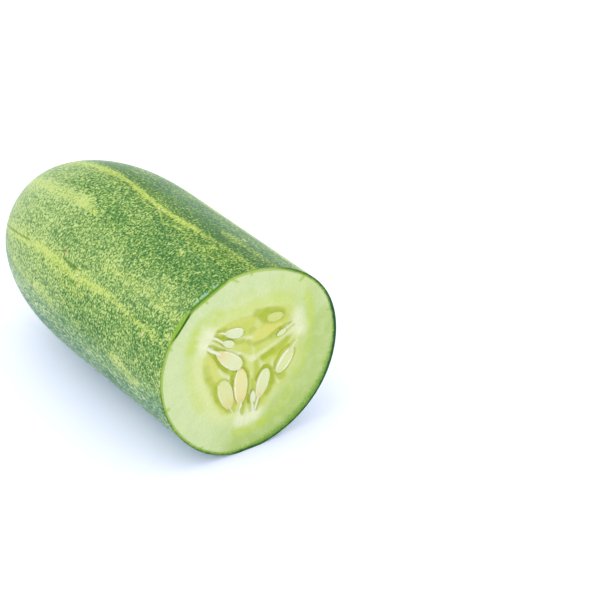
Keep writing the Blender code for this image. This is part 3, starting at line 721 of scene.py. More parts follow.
def local_points(mesh):
    """The mesh's points in millimetres from the middle of the cut."""
    points = np.empty(len(mesh.vertices) * 3, np.float32)
    mesh.vertices.foreach_get("co", points)
    return (points.reshape(-1, 3) - np.array(CUT)) / MM


def set_points(mesh, points_mm):
    mesh.vertices.foreach_set("co", (points_mm * MM + np.array(CUT)).astype(np.float32).ravel())
    mesh.update()


def set_attribute(mesh, name, values):
    mesh.attributes.new(name, "FLOAT", "POINT").data.foreach_set("value", np.asarray(values, np.float32))


def set_attributes(mesh, paint):
    """Stores each kind of paint under its name, for the materials to read."""
    for name, values in paint.items():
        set_attribute(mesh, name, values)


def grid_faces(rows, columns, start=0):
    """The quads between rows of points that each close on themselves."""
    faces = []
    for i in range(rows - 1):
        for j in range(columns):
            k = (j + 1) % columns
            a, b = start + i * columns, start + (i + 1) * columns
            faces.append((a + j, a + k, b + k, b + j))
    return faces


class PeelSettings(bpy.types.PropertyGroup):
    length: bpy.props.FloatProperty(
        name="Length", description="From the cut to the blossom end", default=LENGTH, unit="LENGTH"
    )
    radius: bpy.props.FloatProperty(
        name="Radius", description="Mean radius of the fruit", default=RADIUS, unit="LENGTH"
    )
    rounded_from: bpy.props.FloatProperty(
        name="Rounded from", description="Straight share of the length", default=0.54, subtype="FACTOR"
    )
    end_fullness: bpy.props.FloatProperty(
        name="End fullness", description="How blunt the rounded end is; 2 is an ellipse", default=2.4
    )
    thickness: bpy.props.FloatProperty(
        name="Thickness", description="Thickness of the peel", default=0.9 * MM, unit="LENGTH"
    )
    dimple_depth: bpy.props.FloatProperty(
        name="Dimple depth", description="Dimple in the blossom end", default=1.2 * MM, unit="LENGTH"
    )
    button_height: bpy.props.FloatProperty(
        name="Button height", description="Height of the flower's scar", default=0.8 * MM, unit="LENGTH"
    )
    dark: bpy.props.FloatVectorProperty(
        name="Dark green", description="The peel between flecks", default=shown(54, 110, 54), subtype="COLOR"
    )
    middle: bpy.props.FloatVectorProperty(
        name="Middle green", description="Edges of the flecks", default=shown(118, 162, 76), subtype="COLOR"
    )
    light: bpy.props.FloatVectorProperty(
        name="Light green", description="The peel's flecks", default=shown(192, 216, 128), subtype="COLOR"
    )
    fleck: bpy.props.FloatProperty(name="Fleck scale", description="Flecks in a millimetre", default=1.65)


class FleshSettings(bpy.types.PropertyGroup):
    flesh: bpy.props.FloatVectorProperty(
        name="Flesh", description="Flesh round the chambers", default=shown(209, 229, 169), subtype="COLOR"
    )
    gel: bpy.props.FloatVectorProperty(
        name="Gel", description="Gel of the chambers", default=shown(199, 212, 80), subtype="COLOR"
    )
    # Deep gel: partly the gel's own colour, partly painted shade in the clefts.
    deep: bpy.props.FloatVectorProperty(
        name="Deep gel", description="Clefts round the seeds", default=shown(168, 188, 0), subtype="COLOR"
    )
    pale: bpy.props.FloatVectorProperty(
        name="Pale tissue", description="Hubs and membranes", default=shown(238, 246, 208), subtype="COLOR"
    )
    gel_sink: bpy.props.FloatProperty(
        name="Gel sink", description="How far the gel lies below the cut", default=0.2 * MM, unit="LENGTH"
    )
    cleft_sink: bpy.props.FloatProperty(
        name="Cleft sink", description="How far clefts lie below the gel", default=0.35 * MM, unit="LENGTH"
    )


class SeedSettings(bpy.types.PropertyGroup):
    coat: bpy.props.FloatVectorProperty(
        name="Seed coat", description="Colour of a seed", default=shown(222, 235, 190), subtype="COLOR"
    )
    amber: bpy.props.FloatVectorProperty(
        name="Amber", description="Colour of a riper seed", default=shown(232, 225, 144), subtype="COLOR"
    )
    thickness: bpy.props.FloatProperty(
        name="Thickness", description="Thickness as a share of the width", default=0.4, subtype="FACTOR"
    )


class StageSettings(bpy.types.PropertyGroup):
    azimuth: bpy.props.FloatProperty(
        name="Azimuth", description="Turn round the fruit", default=math.radians(54.378), subtype="ANGLE"
    )
    elevation: bpy.props.FloatProperty(
        name="Elevation", description="Angle above the floor", default=math.radians(29.986), subtype="ANGLE"
    )
    distance: bpy.props.FloatProperty(
        name="Distance", description="From the camera to the cut", default=600 * MM, unit="LENGTH"
    )
    lens: bpy.props.FloatProperty(name="Lens", description="Focal length in millimetres", default=140.67)
    world: bpy.props.FloatProperty(name="World light", description="Strength of the even light", default=1.32)
    sun: bpy.props.FloatProperty(name="Key light", description="Strength of the light above", default=0.5)


def made_by_nodes(name, build, values, material, places=None):
    """The plain mesh that a Geometry Nodes tree makes with these named inputs, on places if it needs them."""
    tree = bpy.data.node_groups.new(name, "GeometryNodeTree")
    tree.interface.new_socket("Geometry", in_out="OUTPUT", socket_type="NodeSocketGeometry")
    tree.interface.new_socket("Places", in_out="INPUT", socket_type="NodeSocketGeometry")
    found = {}
    for key, value in values.items():
        kind = "NodeSocketInt" if isinstance(value, int) else "NodeSocketFloat"
        found[key] = tree.interface.new_socket(key, in_out="INPUT", socket_type=kind).identifier
    graph = Graph(tree)
    entry = tree.nodes.new("NodeGroupInput")
    inputs = {socket.name: Value(graph, socket) for socket in entry.outputs if socket.name}
    whole = graph.node("GeometryNodeRealizeInstances", {}, {0: build(graph, inputs)})
    done = graph.node("GeometryNodeSetMaterial", {}, {"Geometry": whole, "Material": material})
    leave = tree.nodes.new("NodeGroupOutput")
    tree.links.new(done.socket, leave.inputs[0])
    holder = bpy.data.objects.new(name, places or bpy.data.meshes.new(name))
    bpy.context.scene.collection.objects.link(holder)
    modifier = holder.modifiers.new(name, "NODES")
    modifier.node_group = tree
    for key, value in values.items():
        modifier[found[key]] = value
    evaluated = holder.evaluated_get(bpy.context.evaluated_depsgraph_get())
    mesh = bpy.data.meshes.new_from_object(evaluated)
    bpy.data.objects.remove(holder)
    return mesh


def peel_form(graph, inputs):
    """One sheet of peel: from the tip along the outside, over the edge of the cut, and back inside."""
    sizes = {"Size X": 1.0, "Size Y": 1.0, "Vertices X": inputs["Columns"], "Vertices Y": inputs["Rows"]}
    grid = graph.node("GeometryNodeMeshGrid", {}, sizes)
    column = graph.node("ShaderNodeSeparateXYZ", {}, {0: graph.node("GeometryNodeInputPosition")})
    angle = (column + 0.25) * math.tau
    row = column.beside("Y") + 0.5
    outside = inputs["Outside rows"]
    edge_rows = 0.04
    rim = outside + edge_rows
    along = ((outside - row) / outside).sum("MAXIMUM", 0) + ((row - rim) / (1 - rim)).sum("MAXIMUM", 0)
    inset = inputs["Thickness"] * ((row - outside) / edge_rows).clamped()
    straight = inputs["Length"] * inputs["Rounded from"]
    run = (along * 2).sum("MINIMUM", 1) ** 1.5
    turn = 1 - (1 - (along * 2 - 1).clamped()) ** 1.3
    power = 2 / inputs["End fullness"]
    outward = (turn * (math.pi / 2)).sum("COSINE").sum("MAXIMUM", 0) ** power
    reach = (inputs["Length"] - straight - inset) * (turn * (math.pi / 2)).sum("SINE") ** power
    from_axis = (inputs["Radius"] - inset) * outward
    dimple = inputs["Dimple depth"] * (0 - (from_axis / inputs["Dimple radius"]) ** 2).sum("EXPONENT")
    button = inputs["Button height"] * (0 - (from_axis / inputs["Button radius"]) ** 4).sum("EXPONENT")
    distance = straight * run + reach - dimple + button
    radius = inputs["Radius"] - inset
    for count, height, highest in LOBES:
        radius = radius + ((angle - math.radians(highest)) * count).sum("COSINE") * (height * MM)
    radius = radius * outward
    height = (angle.sum("SINE") * radius).sum("MAXIMUM", inputs["Floor"] + inset)
    corner = {0: CUT.x - distance, 1: angle.sum("COSINE") * radius + CUT.y, 2: height + CUT.z}
    moved = {"Geometry": grid, "Position": graph.node("ShaderNodeCombineXYZ", {}, corner)}
    shaped = graph.node("GeometryNodeSetPosition", {}, moved)
    return graph.node("GeometryNodeMergeByDistance", {}, {"Geometry": shaped, "Distance": MERGED})


def scar_form(graph, inputs):
    """A low cap of skin on each place, broader than it is high, turned to stand on the peel."""
    cap = graph.node("GeometryNodeMeshIcoSphere", {}, {"Radius": 1.0, "Subdivisions": 4})
    wobble = graph.node("ShaderNodeTexNoise", {}, {"Scale": 2.2, "Detail": 2.0}, out="Color")
    off = graph.node("ShaderNodeVectorMath", {"operation": "SUBTRACT"}, {0: wobble, 1: (0.5, 0.5, 0.5)})
    uneven = {0: off, "Scale": inputs["Unevenness"]}
    small = graph.node("ShaderNodeVectorMath", {"operation": "SCALE"}, uneven)
    rough = graph.node("GeometryNodeSetPosition", {}, {"Geometry": cap, "Offset": small})
    span = {2: 0.85, 3: 1.2, "Seed": inputs["Seed"]}
    drawn = graph.node("FunctionNodeRandomValue", {"data_type": "FLOAT"}, span, out=1)
    stored = "GeometryNodeInputNamedAttribute"
    size = graph.node(stored, {"data_type": "FLOAT"}, {"Name": "size"})
    outward = graph.node(stored, {"data_type": "FLOAT_VECTOR"}, {"Name": "outward"})
    turned = graph.node("FunctionNodeAlignRotationToVector", {"axis": "Z"}, {"Vector": outward})
    across = size * MM
    sides = {0: across * drawn, 1: across / drawn, 2: across * inputs["Height"]}
    scale = graph.node("ShaderNodeCombineXYZ", {}, sides)
    caps = {"Points": inputs["Places"], "Instance": rough, "Rotation": turned, "Scale": scale}
    return graph.node("GeometryNodeInstanceOnPoints", {}, caps)


def side_profile(settings, share, inset):
    """Millimetres from the cut, and share of the full radius, at a share of the way along an inset side."""
    length = settings.length / MM
    straight = length * settings.rounded_from
    turn = (math.pi / 2) * np.clip(share * 2 - 1, 0, 1)
    power = 2 / settings.end_fullness
    outward = np.maximum(np.cos(turn), 0) ** power
    distance = straight * np.minimum(share * 2, 1) + (length - straight - inset) * np.sin(turn) ** power
    from_axis = settings.radius / MM * outward
    distance = distance - settings.dimple_depth / MM * np.exp(-((from_axis / DIMPLE_RADIUS) ** 2))
    return distance, outward


def ring_of_points(distance, outward, angle, inset):
    """Points round the fruit at one distance from the cut."""
    radius = (section(angle) - inset) * outward
    height = np.maximum(np.sin(angle) * radius, FLOOR / MM + inset)
    return np.stack([np.full(len(angle), -distance), np.cos(angle) * radius, height], axis=1)


def wear_back(points):
    """Points from the middle of the cut, leaned inwards at the rim where the knife slipped over it."""
    angle = np.arctan2(points[:, 2], points[:, 1])
    radius = np.hypot(points[:, 1], points[:, 2])
    below = section(angle) - radius
    worn, _ = worn_back(angle)
    share = np.clip(1 + points[:, 0] / np.maximum(worn * WORN_LENGTH, 0.01), 0, 1)
    push = worn * share * np.clip(1 - below / WORN_BELOW, 0, 1)
    scale = np.where(radius > 1, (radius - push) / np.maximum(radius, 1), 1)
    return np.stack([points[:, 0], points[:, 1] * scale, points[:, 2] * scale], axis=1)


def vein_strokes():
    """The ends of the veins, as strokes that run inwards from the rim."""
    marks = []
    for degrees, depth, half, lean in VEIN_MARKS:
        ends = []
        for inward, turn in ((0.5, 0), (depth, lean)):
            angle = math.radians(degrees + turn)
            radius = float(section(np.array(angle))) - inward
            ends.append((radius * math.cos(angle), radius * math.sin(angle)))
        marks.append(Stroke(0.85, (half * 0.5, half * 0.35), 0.35, tuple(ends)))
    return marks


def paint_edge(mesh, points):
    """Stores how the peel shows in the cut: its dark line, its rind, the fade inwards and the vein marks."""
    angle = np.arctan2(points[:, 2], points[:, 1])
    inward = outline(angle) - np.hypot(points[:, 1], points[:, 2])
    strength, width, reach = rim_look(angle)
    ripple = 0.05 * np.sin(angle * 37) + 0.05 * np.sin(angle * 61 + 1.3) + 0.04 * np.sin(angle * 113 + 0.4)
    line = 1 - smoothstep(width * 0.8, width * 1.2 + 0.25, inward + ripple)
    rind = 1 - smoothstep(width, width + reach * 0.7, inward)
    paint = {
        "line": strength * line,
        "rind": strength * rind,
        "fade": 1 - smoothstep(-0.4, width + reach, inward + ripple * reach),
        "veins": coverage(points[:, 1:], vein_strokes()),
    }
    set_attributes(mesh, paint)


def edge_colour(graph, base):
    """The base colour under the peel's edge: a fade, the ends of veins, the rind and its dark line."""
    place = graph.node("ShaderNodeTexCoord", out="Object")
    specks = graph.noise(place, 1700, detail=2, roughness=0.6) - 0.5

    def grainy(name, grain):
        """A painted attribute whose edge is broken up by specks."""
        paint = graph.attribute(name)
        return (paint + specks * (paint * (1 - paint) * grain)).clamped()

    colour = graph.mix(grainy("fade", 5) * 0.95, base, shown(134, 178, 38))
    colour = graph.painted(colour, ("veins", 0.8, shown(158, 198, 40)))
    colour = graph.mix(grainy("rind", 7) * 0.85, colour, shown(96, 152, 36))
    return graph.mix(grainy("line", 3) * 0.95, colour, shown(26, 80, 34))


def hidden_stripes():
    """Stripes for the side that the photograph doesn't show, by the same spacing as the ones that it does."""
    chance = random.Random(7)
    stripes = []
    for middle in (228, 262, -65, -23, 14, 48):
        path = [(s, middle + chance.uniform(-2.4, 2.4)) for s in (0, 20, 42, 64, 84, 102)]
        half = chance.uniform(0.2, 0.45)
        stripes.append(Stroke(chance.uniform(0.6, 0.85), (half, half * 1.6), 1.1, tuple(path)))
        for _ in range(4):
            start = chance.uniform(0, 78)
            turn = middle + chance.uniform(-3, 3)
            end = (start + chance.uniform(8, 20), turn + chance.uniform(-2, 2))
            half = chance.uniform(0.6, 1.6)
            stripes.append(Stroke(chance.uniform(0.25, 0.5), (0.3, half), 2.2, ((start, turn), end)))
    return stripes


def paint_peel(mesh):
    """Stores the peel's stripes, bands and marks, painted on the peel unrolled flat."""
    points = local_points(mesh)
    distance = -points[:, 0]
    degrees = (np.degrees(np.arctan2(points[:, 2], points[:, 1])) + 90) % 360 - 90
    flat = np.stack(on_peel(distance, degrees), axis=1)
    halos = [Stroke(0.5, (0.5, 0.5), 1.1, ((s, turn), (s + 0.4, turn))) for s, turn, _ in SCARS]
    layers = {
        "stripe": STRIPES + hidden_stripes() + halos,
        "warm": WARM,
        "dot": DOTS,
        "dark": DARK_BANDS,
        "pale": PALE_BANDS,
        "mark": MARKS,
        "wet": GLINTS,
        # bloom: the waxy bloom with painted shade and painted floor reflection, low on the flanks
        "bloom": BLOOM_AND_SHADE,
    }
    set_attributes(mesh, {name: coverage(flat, unrolled(layer)) for name, layer in layers.items()})
    _, band = worn_back(np.radians(degrees))
    petals = 1 + 0.12 * np.cos(np.radians(degrees) * 5)
    from_axis = np.hypot(points[:, 1], points[:, 2]) / petals
    on_cut = distance < 0.02
    far_end = distance > 60
    ends = {
        "cut": on_cut,
        "worn": (1 - smoothstep(0.7, 1.4, distance / np.maximum(band, 0.05))) * (band > 0.1),
        "flower": (1 - smoothstep(1.0, 1.7, from_axis)) * far_end,
    }
    set_attributes(mesh, ends)


def peel_material(settings):
    material, graph, shader, place = new_material(
        "cucumber peel", Coat_Weight=0.03, Coat_Roughness=0.2, Specular_IOR_Level=0.1
    )
    dark = graph.attribute("dark")
    pale = graph.attribute("pale")
    # warm: painted light, the top's warmer tint under the light from above
    warm = graph.attribute("warm")
    # The bloom's mask carries painted shade and a painted reflection of the floor as well.
    bloom = graph.attribute("bloom")
    stripe = graph.attribute("stripe")

    # Round flecks, drawn out into streaks on the low flanks, where the bloom and its painted shade lie.
    rounded = graph.stretched(place, (1.15, 0.95, 0.95))
    coarse = graph.noise(rounded, settings.fleck, detail=3, roughness=0.55, distortion=0.3)
    streaky = graph.noise(graph.stretched(place, (0.5, 1.15, 1.15)), settings.fleck, detail=3, roughness=0.55)
    coarse = coarse + (streaky - coarse) * bloom
    fine = graph.noise(rounded, settings.fleck * 2.6)
    patches = graph.noise(place, 0.12)
    blotches = graph.noise(place, 0.5)
    stripe = (stripe * (0.5 + blotches) + (coarse - 0.5) * stripe * (1 - stripe) * 6.0).clamped()
    share = stripe * 0.09 - dark * 0.1 + pale * 0.07 + (patches - 0.5) * 0.1 + (blotches - 0.5) * 0.1
    grain = coarse * 0.8 + fine * 0.2 + share
    flecks = grain.smooth(0.42, 0.6)

    # The three tones, each with what it turns to along the top, under its painted light, and low on the
    # flanks, under the bloom and its painted shade.
    deep = graph.mix(dark * 0.5, tuple(settings.dark), shown(48, 106, 50))
    tones = []
    for tone, warmed, bloomed_and_shaded, covering in (
        (deep, (44, 100, 22), (32, 94, 78), 0.75),
        (tuple(settings.middle), (112, 154, 38), (110, 160, 126), 0.7),
        (tuple(settings.light), (190, 212, 104), (200, 226, 178), 0.8),
    ):
        tone = graph.mix(warm * 0.8, tone, shown(*warmed))
        tones.append(graph.mix(bloom * covering, tone, shown(*bloomed_and_shaded)))
    deep, middle, light = tones
    skin = graph.mix(grain.smooth(0.41, 0.51), deep, middle)
    skin = graph.mix(grain.smooth(0.51, 0.61), skin, light)
    skin = graph.mix(stripe * 0.42, skin, shown(199, 219, 90))
    skin = graph.painted(
        skin,
        ("dot", 0.85, shown(128, 104, 50)),
        ("pale", 0.3, shown(200, 221, 176)),
        ("worn", 0.85, shown(134, 184, 48)),
        ("mark", 0.85, shown(56, 114, 34)),
        ("flower", 0.85, shown(176, 158, 112)),
        # Painted highlight: the wet glints on the worn edge.
        ("wet", 0.8, shown(184, 226, 206)),
    )
    ring = edge_colour(graph, shown(176, 204, 108))
    relief = flecks * 0.15 + fine * 0.1 + graph.noise(place, 0.35) * 1.4
    feed(
        graph,
        shader,
        Base_Color=graph.mix(graph.attribute("cut"), skin, ring),
        Roughness=0.34 + flecks * 0.1 + fine * 0.08,
        Normal=bump(graph, relief, 0.12 * MM, 0.6),
    )
    return material


def flesh_material(settings):
    material, graph, shader, place = new_material(
        "cucumber flesh",
        Specular_IOR_Level=0.2,
        Coat_Weight=0.1,
        Coat_Roughness=0.12,
        Subsurface_Weight=0.12,
        Subsurface_Scale=1.2 * MM,
        Subsurface_Radius=(1.0, 1.0, 0.6),
    )
    gel = graph.attribute("gel")
    cells = graph.noise(place, 1.7, detail=3, roughness=0.6)
    clouds = graph.noise(place, 0.28, detail=3, roughness=0.55)
    colour = graph.painted(
        tuple(settings.flesh),
        ("streaks", 0.45, shown(199, 223, 160)),
        ("inner", 0.85, shown(221, 234, 156)),
        # green: partly the flesh's own tone, partly painted shade towards the lower right
        ("green", 0.85, shown(172, 201, 98)),
        ("lime", 0.85, shown(194, 218, 70)),
    )
    colour = graph.mix((clouds - 0.42).smooth(0, 0.25) * 0.25, colour, shown(222, 236, 184))
    colour = graph.painted(
        colour,
        ("gel", 0.85, settings.gel),
        ("pale", 0.9, settings.pale),
        ("amber", 0.85, shown(218, 222, 112)),
        # deep: the dark olive clefts, partly painted shade
        ("deep", 0.9, settings.deep),
    )
    colour = graph.mix((cells - 0.35).smooth(0, 0.3) * 0.12, colour, shown(150, 176, 90))
    ridges = graph.noise(place, 4.5, roughness=0.6)
    relief = cells * (1 - gel * 0.6) + ridges * 0.35 * (1 - gel) + clouds * 1.5
    feed(
        graph,
        shader,
        Base_Color=edge_colour(graph, colour),
        Roughness=0.42 - gel * 0.16 - graph.attribute("deep") * 0.08 + cells * 0.12,
        Normal=bump(graph, relief, 0.1 * MM, 0.45),
    )
    return material


def seed_material(settings, flesh):
    material, graph, shader, place = new_material(
        "cucumber seed",
        Specular_IOR_Level=0.25,
        Coat_Weight=0.15,
        Coat_Roughness=0.14,
        Subsurface_Weight=0.15,
        Subsurface_Scale=1.0 * MM,
        Subsurface_Radius=(1.0, 1.0, 0.7),
    )
    side = graph.attribute("side")
    mottle = graph.noise(place, 0.9, detail=3, roughness=0.55)
    fibres = graph.noise(place, 4.0)
    colour = graph.painted(tuple(settings.coat), ("amber", 1, settings.amber))
    colour = graph.mix((mottle - 0.4).smooth(0, 0.25) * 0.4, colour, shown(218, 227, 164))
    colour = graph.painted(colour, ("tint", 0.9, shown(234, 212, 132)), ("open", 1, shown(216, 230, 160)))
    # Painted highlight: a bright white rim round the top of each seed, broken by the mottle.
    rim = side.smooth(0.76, 0.86) * (1 - side.smooth(0.92, 0.98)) * (1 - graph.attribute("open"))
    colour = graph.mix(rim * (mottle - 0.3).smooth(0, 0.3) * 0.8, colour, shown(250, 254, 232))
    # Painted shade: a darker green at the very edge of each seed.
    colour = graph.mix(side.smooth(0.94, 1.0) * 0.35, colour, shown(200, 216, 112))
    colour = graph.painted(colour, ("film", 1, flesh.gel), ("stalk", 0.7, shown(234, 242, 210)))
    relief = mottle * 1.2 + fibres * 0.3
    feed(
        graph,
        shader,
        Base_Color=colour,
        Roughness=0.36 + fibres * 0.1,
        Normal=bump(graph, relief, 0.08 * MM, 0.5),
    )
    return material


def scar_material():
    material, graph, shader, place = new_material("spine scar", Specular_IOR_Level=0.3)
    grain = graph.noise(place, 2.2, detail=3, roughness=0.6)
    crust = graph.mix((grain - 0.4).smooth(0, 0.15), shown(230, 240, 196), shown(138, 148, 84))
    normal = bump(graph, grain, 0.08 * MM, 0.8)
    feed(graph, shader, Base_Color=crust, Roughness=0.55 + grain * 0.2, Normal=normal)
    return material


def floor_material():
    material, graph, shader, place = new_material(
        "studio floor", Specular_IOR_Level=0.2, Emission_Color=(0.05, 0.08, 0.18, 1), Emission_Strength=1.0
    )
    grain = graph.noise(place, 0.05)
    white = graph.mix(grain, srgb(248, 244, 254), srgb(250, 246, 255))
    feed(graph, shader, Base_Color=white, Roughness=0.75 + grain * 0.1)
    return material


def seed_points(seed, thickness, is_open):
    """One seed: a lens between its root and its tip, thickest in the middle, with a low rim round it."""
    root = np.array(seed.root)
    along = np.array(seed.tip) - root
    length = np.linalg.norm(along)
    along = along / length
    across = np.array([-along[1], along[0]])
    stations = (1 - np.cos(np.linspace(0, math.pi, SEED_STATIONS))) / 2
    bulge = stations**seed.root_power * (1 - stations) ** seed.tip_power
    peak = seed.root_power / (seed.root_power + seed.tip_power)
    bulge = bulge / (peak**seed.root_power * (1 - peak) ** seed.tip_power)
    rounds = np.linspace(0, math.tau, SEED_ROUNDS, endpoint=False)
    half_thick = seed.width * thickness / 2
    points, side, opened = [], [], []
    for station, wide in zip(stations, bulge):
        v = np.cos(rounds)
        top = np.sin(rounds)
        u = np.sign(top) * np.abs(top) ** 0.8
        height = half_thick * u * wide**0.8
        rim = RIM_HEIGHT * np.exp(-(((np.abs(v) - RIM_AT) / RIM_HALF) ** 2)) * (top > 0) * wide
        height = height + rim
        inside = np.zeros(len(rounds))
        if is_open:
            inside = (1 - smoothstep(0.56, 0.7, np.abs(v))) * (top > 0) * smoothstep(0.2, 0.45, wide)
            height = height - inside * (half_thick * 0.3)
        spot = root + along * length * station
        level = spot + across * (v * wide * seed.width / 2)[:, None]
        points.append(np.column_stack([seed.proud - half_thick + height, level]))
        bare = is_open & (np.abs(v) < 0.9)
        side.append(np.where(top > 0, np.where(bare, 0.88, np.abs(v)), 1.0))
        opened.append(inside)
    return np.vstack(points), len(stations), len(rounds), np.concatenate(side), np.concatenate(opened)


def tube_points(path, halves, depth, steps=12):
    """A tapered strand along a path on the cut face."""
    path = smooth_path(path, 5)
    halves = np.interp(np.linspace(0, 1, len(path)), (0, 1), halves)
    direction = np.gradient(path, axis=0)
    direction /= np.linalg.norm(direction, axis=1)[:, None]
    across = np.column_stack([-direction[:, 1], direction[:, 0]])
    rounds = np.linspace(0, math.tau, steps, endpoint=False)
    rows = []
    for k, (spot, out, half) in enumerate(zip(path, across, halves)):
        shrink = 0.05 if k in (0, len(path) - 1) else 1.0
        level = spot + out * (np.cos(rounds) * half * shrink)[:, None]
        rows.append(np.column_stack([depth + np.sin(rounds) * half * shrink * 0.8, level]))
    return np.vstack(rows), len(path), steps


def seed_cluster_mesh(name, seeds, thickness):
    """The seeds of one chamber, each with the stalk that it hangs from."""
    points, faces = [], []
    paint = {name: [] for name in ("side", "open", "film", "amber", "stalk", "tint")}
    count = 0

    def add(spots, rows, columns, **values):
        nonlocal count
        faces.extend(grid_faces(rows, columns, count))
        faces.append(tuple(range(count + columns - 1, count - 1, -1)))
        faces.append(tuple(range(count + (rows - 1) * columns, count + rows * columns)))
        points.append(spots)
        for key, found in paint.items():
            found.append(np.broadcast_to(values.get(key, 0.0), len(spots)))
        count += len(spots)

    for index, seed in enumerate(seeds):
        spots, rows, columns, side, opened = seed_points(seed, thickness, (name, index) == OPEN_SEED)
        from_root = np.linalg.norm(spots[:, 1:] - np.array(seed.root), axis=1)
        near_root = 1 - smoothstep(0, 0.6 * math.dist(seed.root, seed.tip), from_root)
        tint = near_root * min(seed.amber * 5, 0.8)
        add(spots, rows, columns, side=side, open=opened, film=seed.film, amber=seed.amber, tint=tint)
        stalk = (*seed.stalk, seed.root)
        into = np.array(seed.root) + 0.25 * (np.array(seed.tip) - np.array(seed.root))
        spots, rows, columns = tube_points((*stalk, tuple(into)), seed.half, min(seed.proud, 0) - 0.12)
        add(spots, rows, columns, stalk=1 - seed.film, film=seed.film * 0.7, side=0.3)
    return points, faces, paint


class CUCUMBER_OT_peel(bpy.types.Operator):
    """Make the peel: its shell by Geometry Nodes, the worn edge of its cut, and its paint"""

    bl_idname = "cucumber.peel"
    bl_label = "Peel"

    def execute(self, context):
        settings = context.scene.cucumber_peel
        values = {
            "Columns": 401,
            "Rows": 205,
            "Outside rows": 0.8,
            "Length": settings.length,
            "Radius": settings.radius,
            "Rounded from": settings.rounded_from,
            "End fullness": settings.end_fullness,
            "Thickness": settings.thickness,
            "Dimple depth": settings.dimple_depth,
            "Dimple radius": DIMPLE_RADIUS * MM,
            "Button height": settings.button_height,
            "Button radius": BUTTON_RADIUS * MM,
            "Floor": FLOOR,
        }
        material = peel_material(settings)
        mesh = made_by_nodes("peel sheet", peel_form, values, material)
        face_outwards(mesh, merging=False)
        paint_peel(mesh)
        paint_edge(mesh, local_points(mesh))
        set_points(mesh, wear_back(local_points(mesh)))
        piece = make_object("peel_skin", mesh, material)
        mesh.set_sharp_from_angle(angle=math.radians(38))
        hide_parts("peel")
        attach(piece, "root")
        return {"FINISHED"}


class CUCUMBER_OT_scars(bpy.types.Operator):
    """Set the spine scars on the peel, instanced by Geometry Nodes"""

    bl_idname = "cucumber.scars"
    bl_label = "Spine scars"

    def execute(self, context):
        chance = random.Random(11)
        skin = bpy.data.objects["peel_skin"]
        spots = list(SCARS)
        for degrees in SCAR_ROWS_HIDDEN:
            for k in range(SCARS_PER_ROW):
                distance = SCAR_FIRST + SCAR_STEP * k + chance.uniform(0, SCAR_STRAY)
                spots.append((distance, degrees + chance.uniform(-3, 3), chance.uniform(0.7, 1.1)))
        places, outward, sizes = [], [], []
        clear_of_peel = 60 * MM
        for distance, degrees, size in spots:
            angle = math.radians(degrees)
            out = Vector((0, math.cos(angle), math.sin(angle)))
            level = CUT + Vector((-distance * MM, 0, 0))
            hit, spot, normal, _ = skin.ray_cast(level + out * clear_of_peel, -out)
            if not hit:
                raise RuntimeError("a spine scar misses the peel")
            places.append(spot - normal * SCAR_SUNK * size * MM)
            outward.append(normal)
            sizes.append(size * SCAR_CAP)
        mesh = bpy.data.meshes.new("scar places")
        mesh.from_pydata(places, [], [])
        stored = mesh.attributes.new("outward", "FLOAT_VECTOR", "POINT")
        stored.data.foreach_set("vector", np.array(outward).ravel())
        set_attribute(mesh, "size", sizes)
        material = scar_material()
        values = {"Height": 0.34, "Unevenness": 0.5, "Seed": 3}
        mesh = made_by_nodes("scar caps", scar_form, values, material, mesh)
        piece = make_object("spine_scars", mesh, material)
        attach(piece, "root")
        return {"FINISHED"}


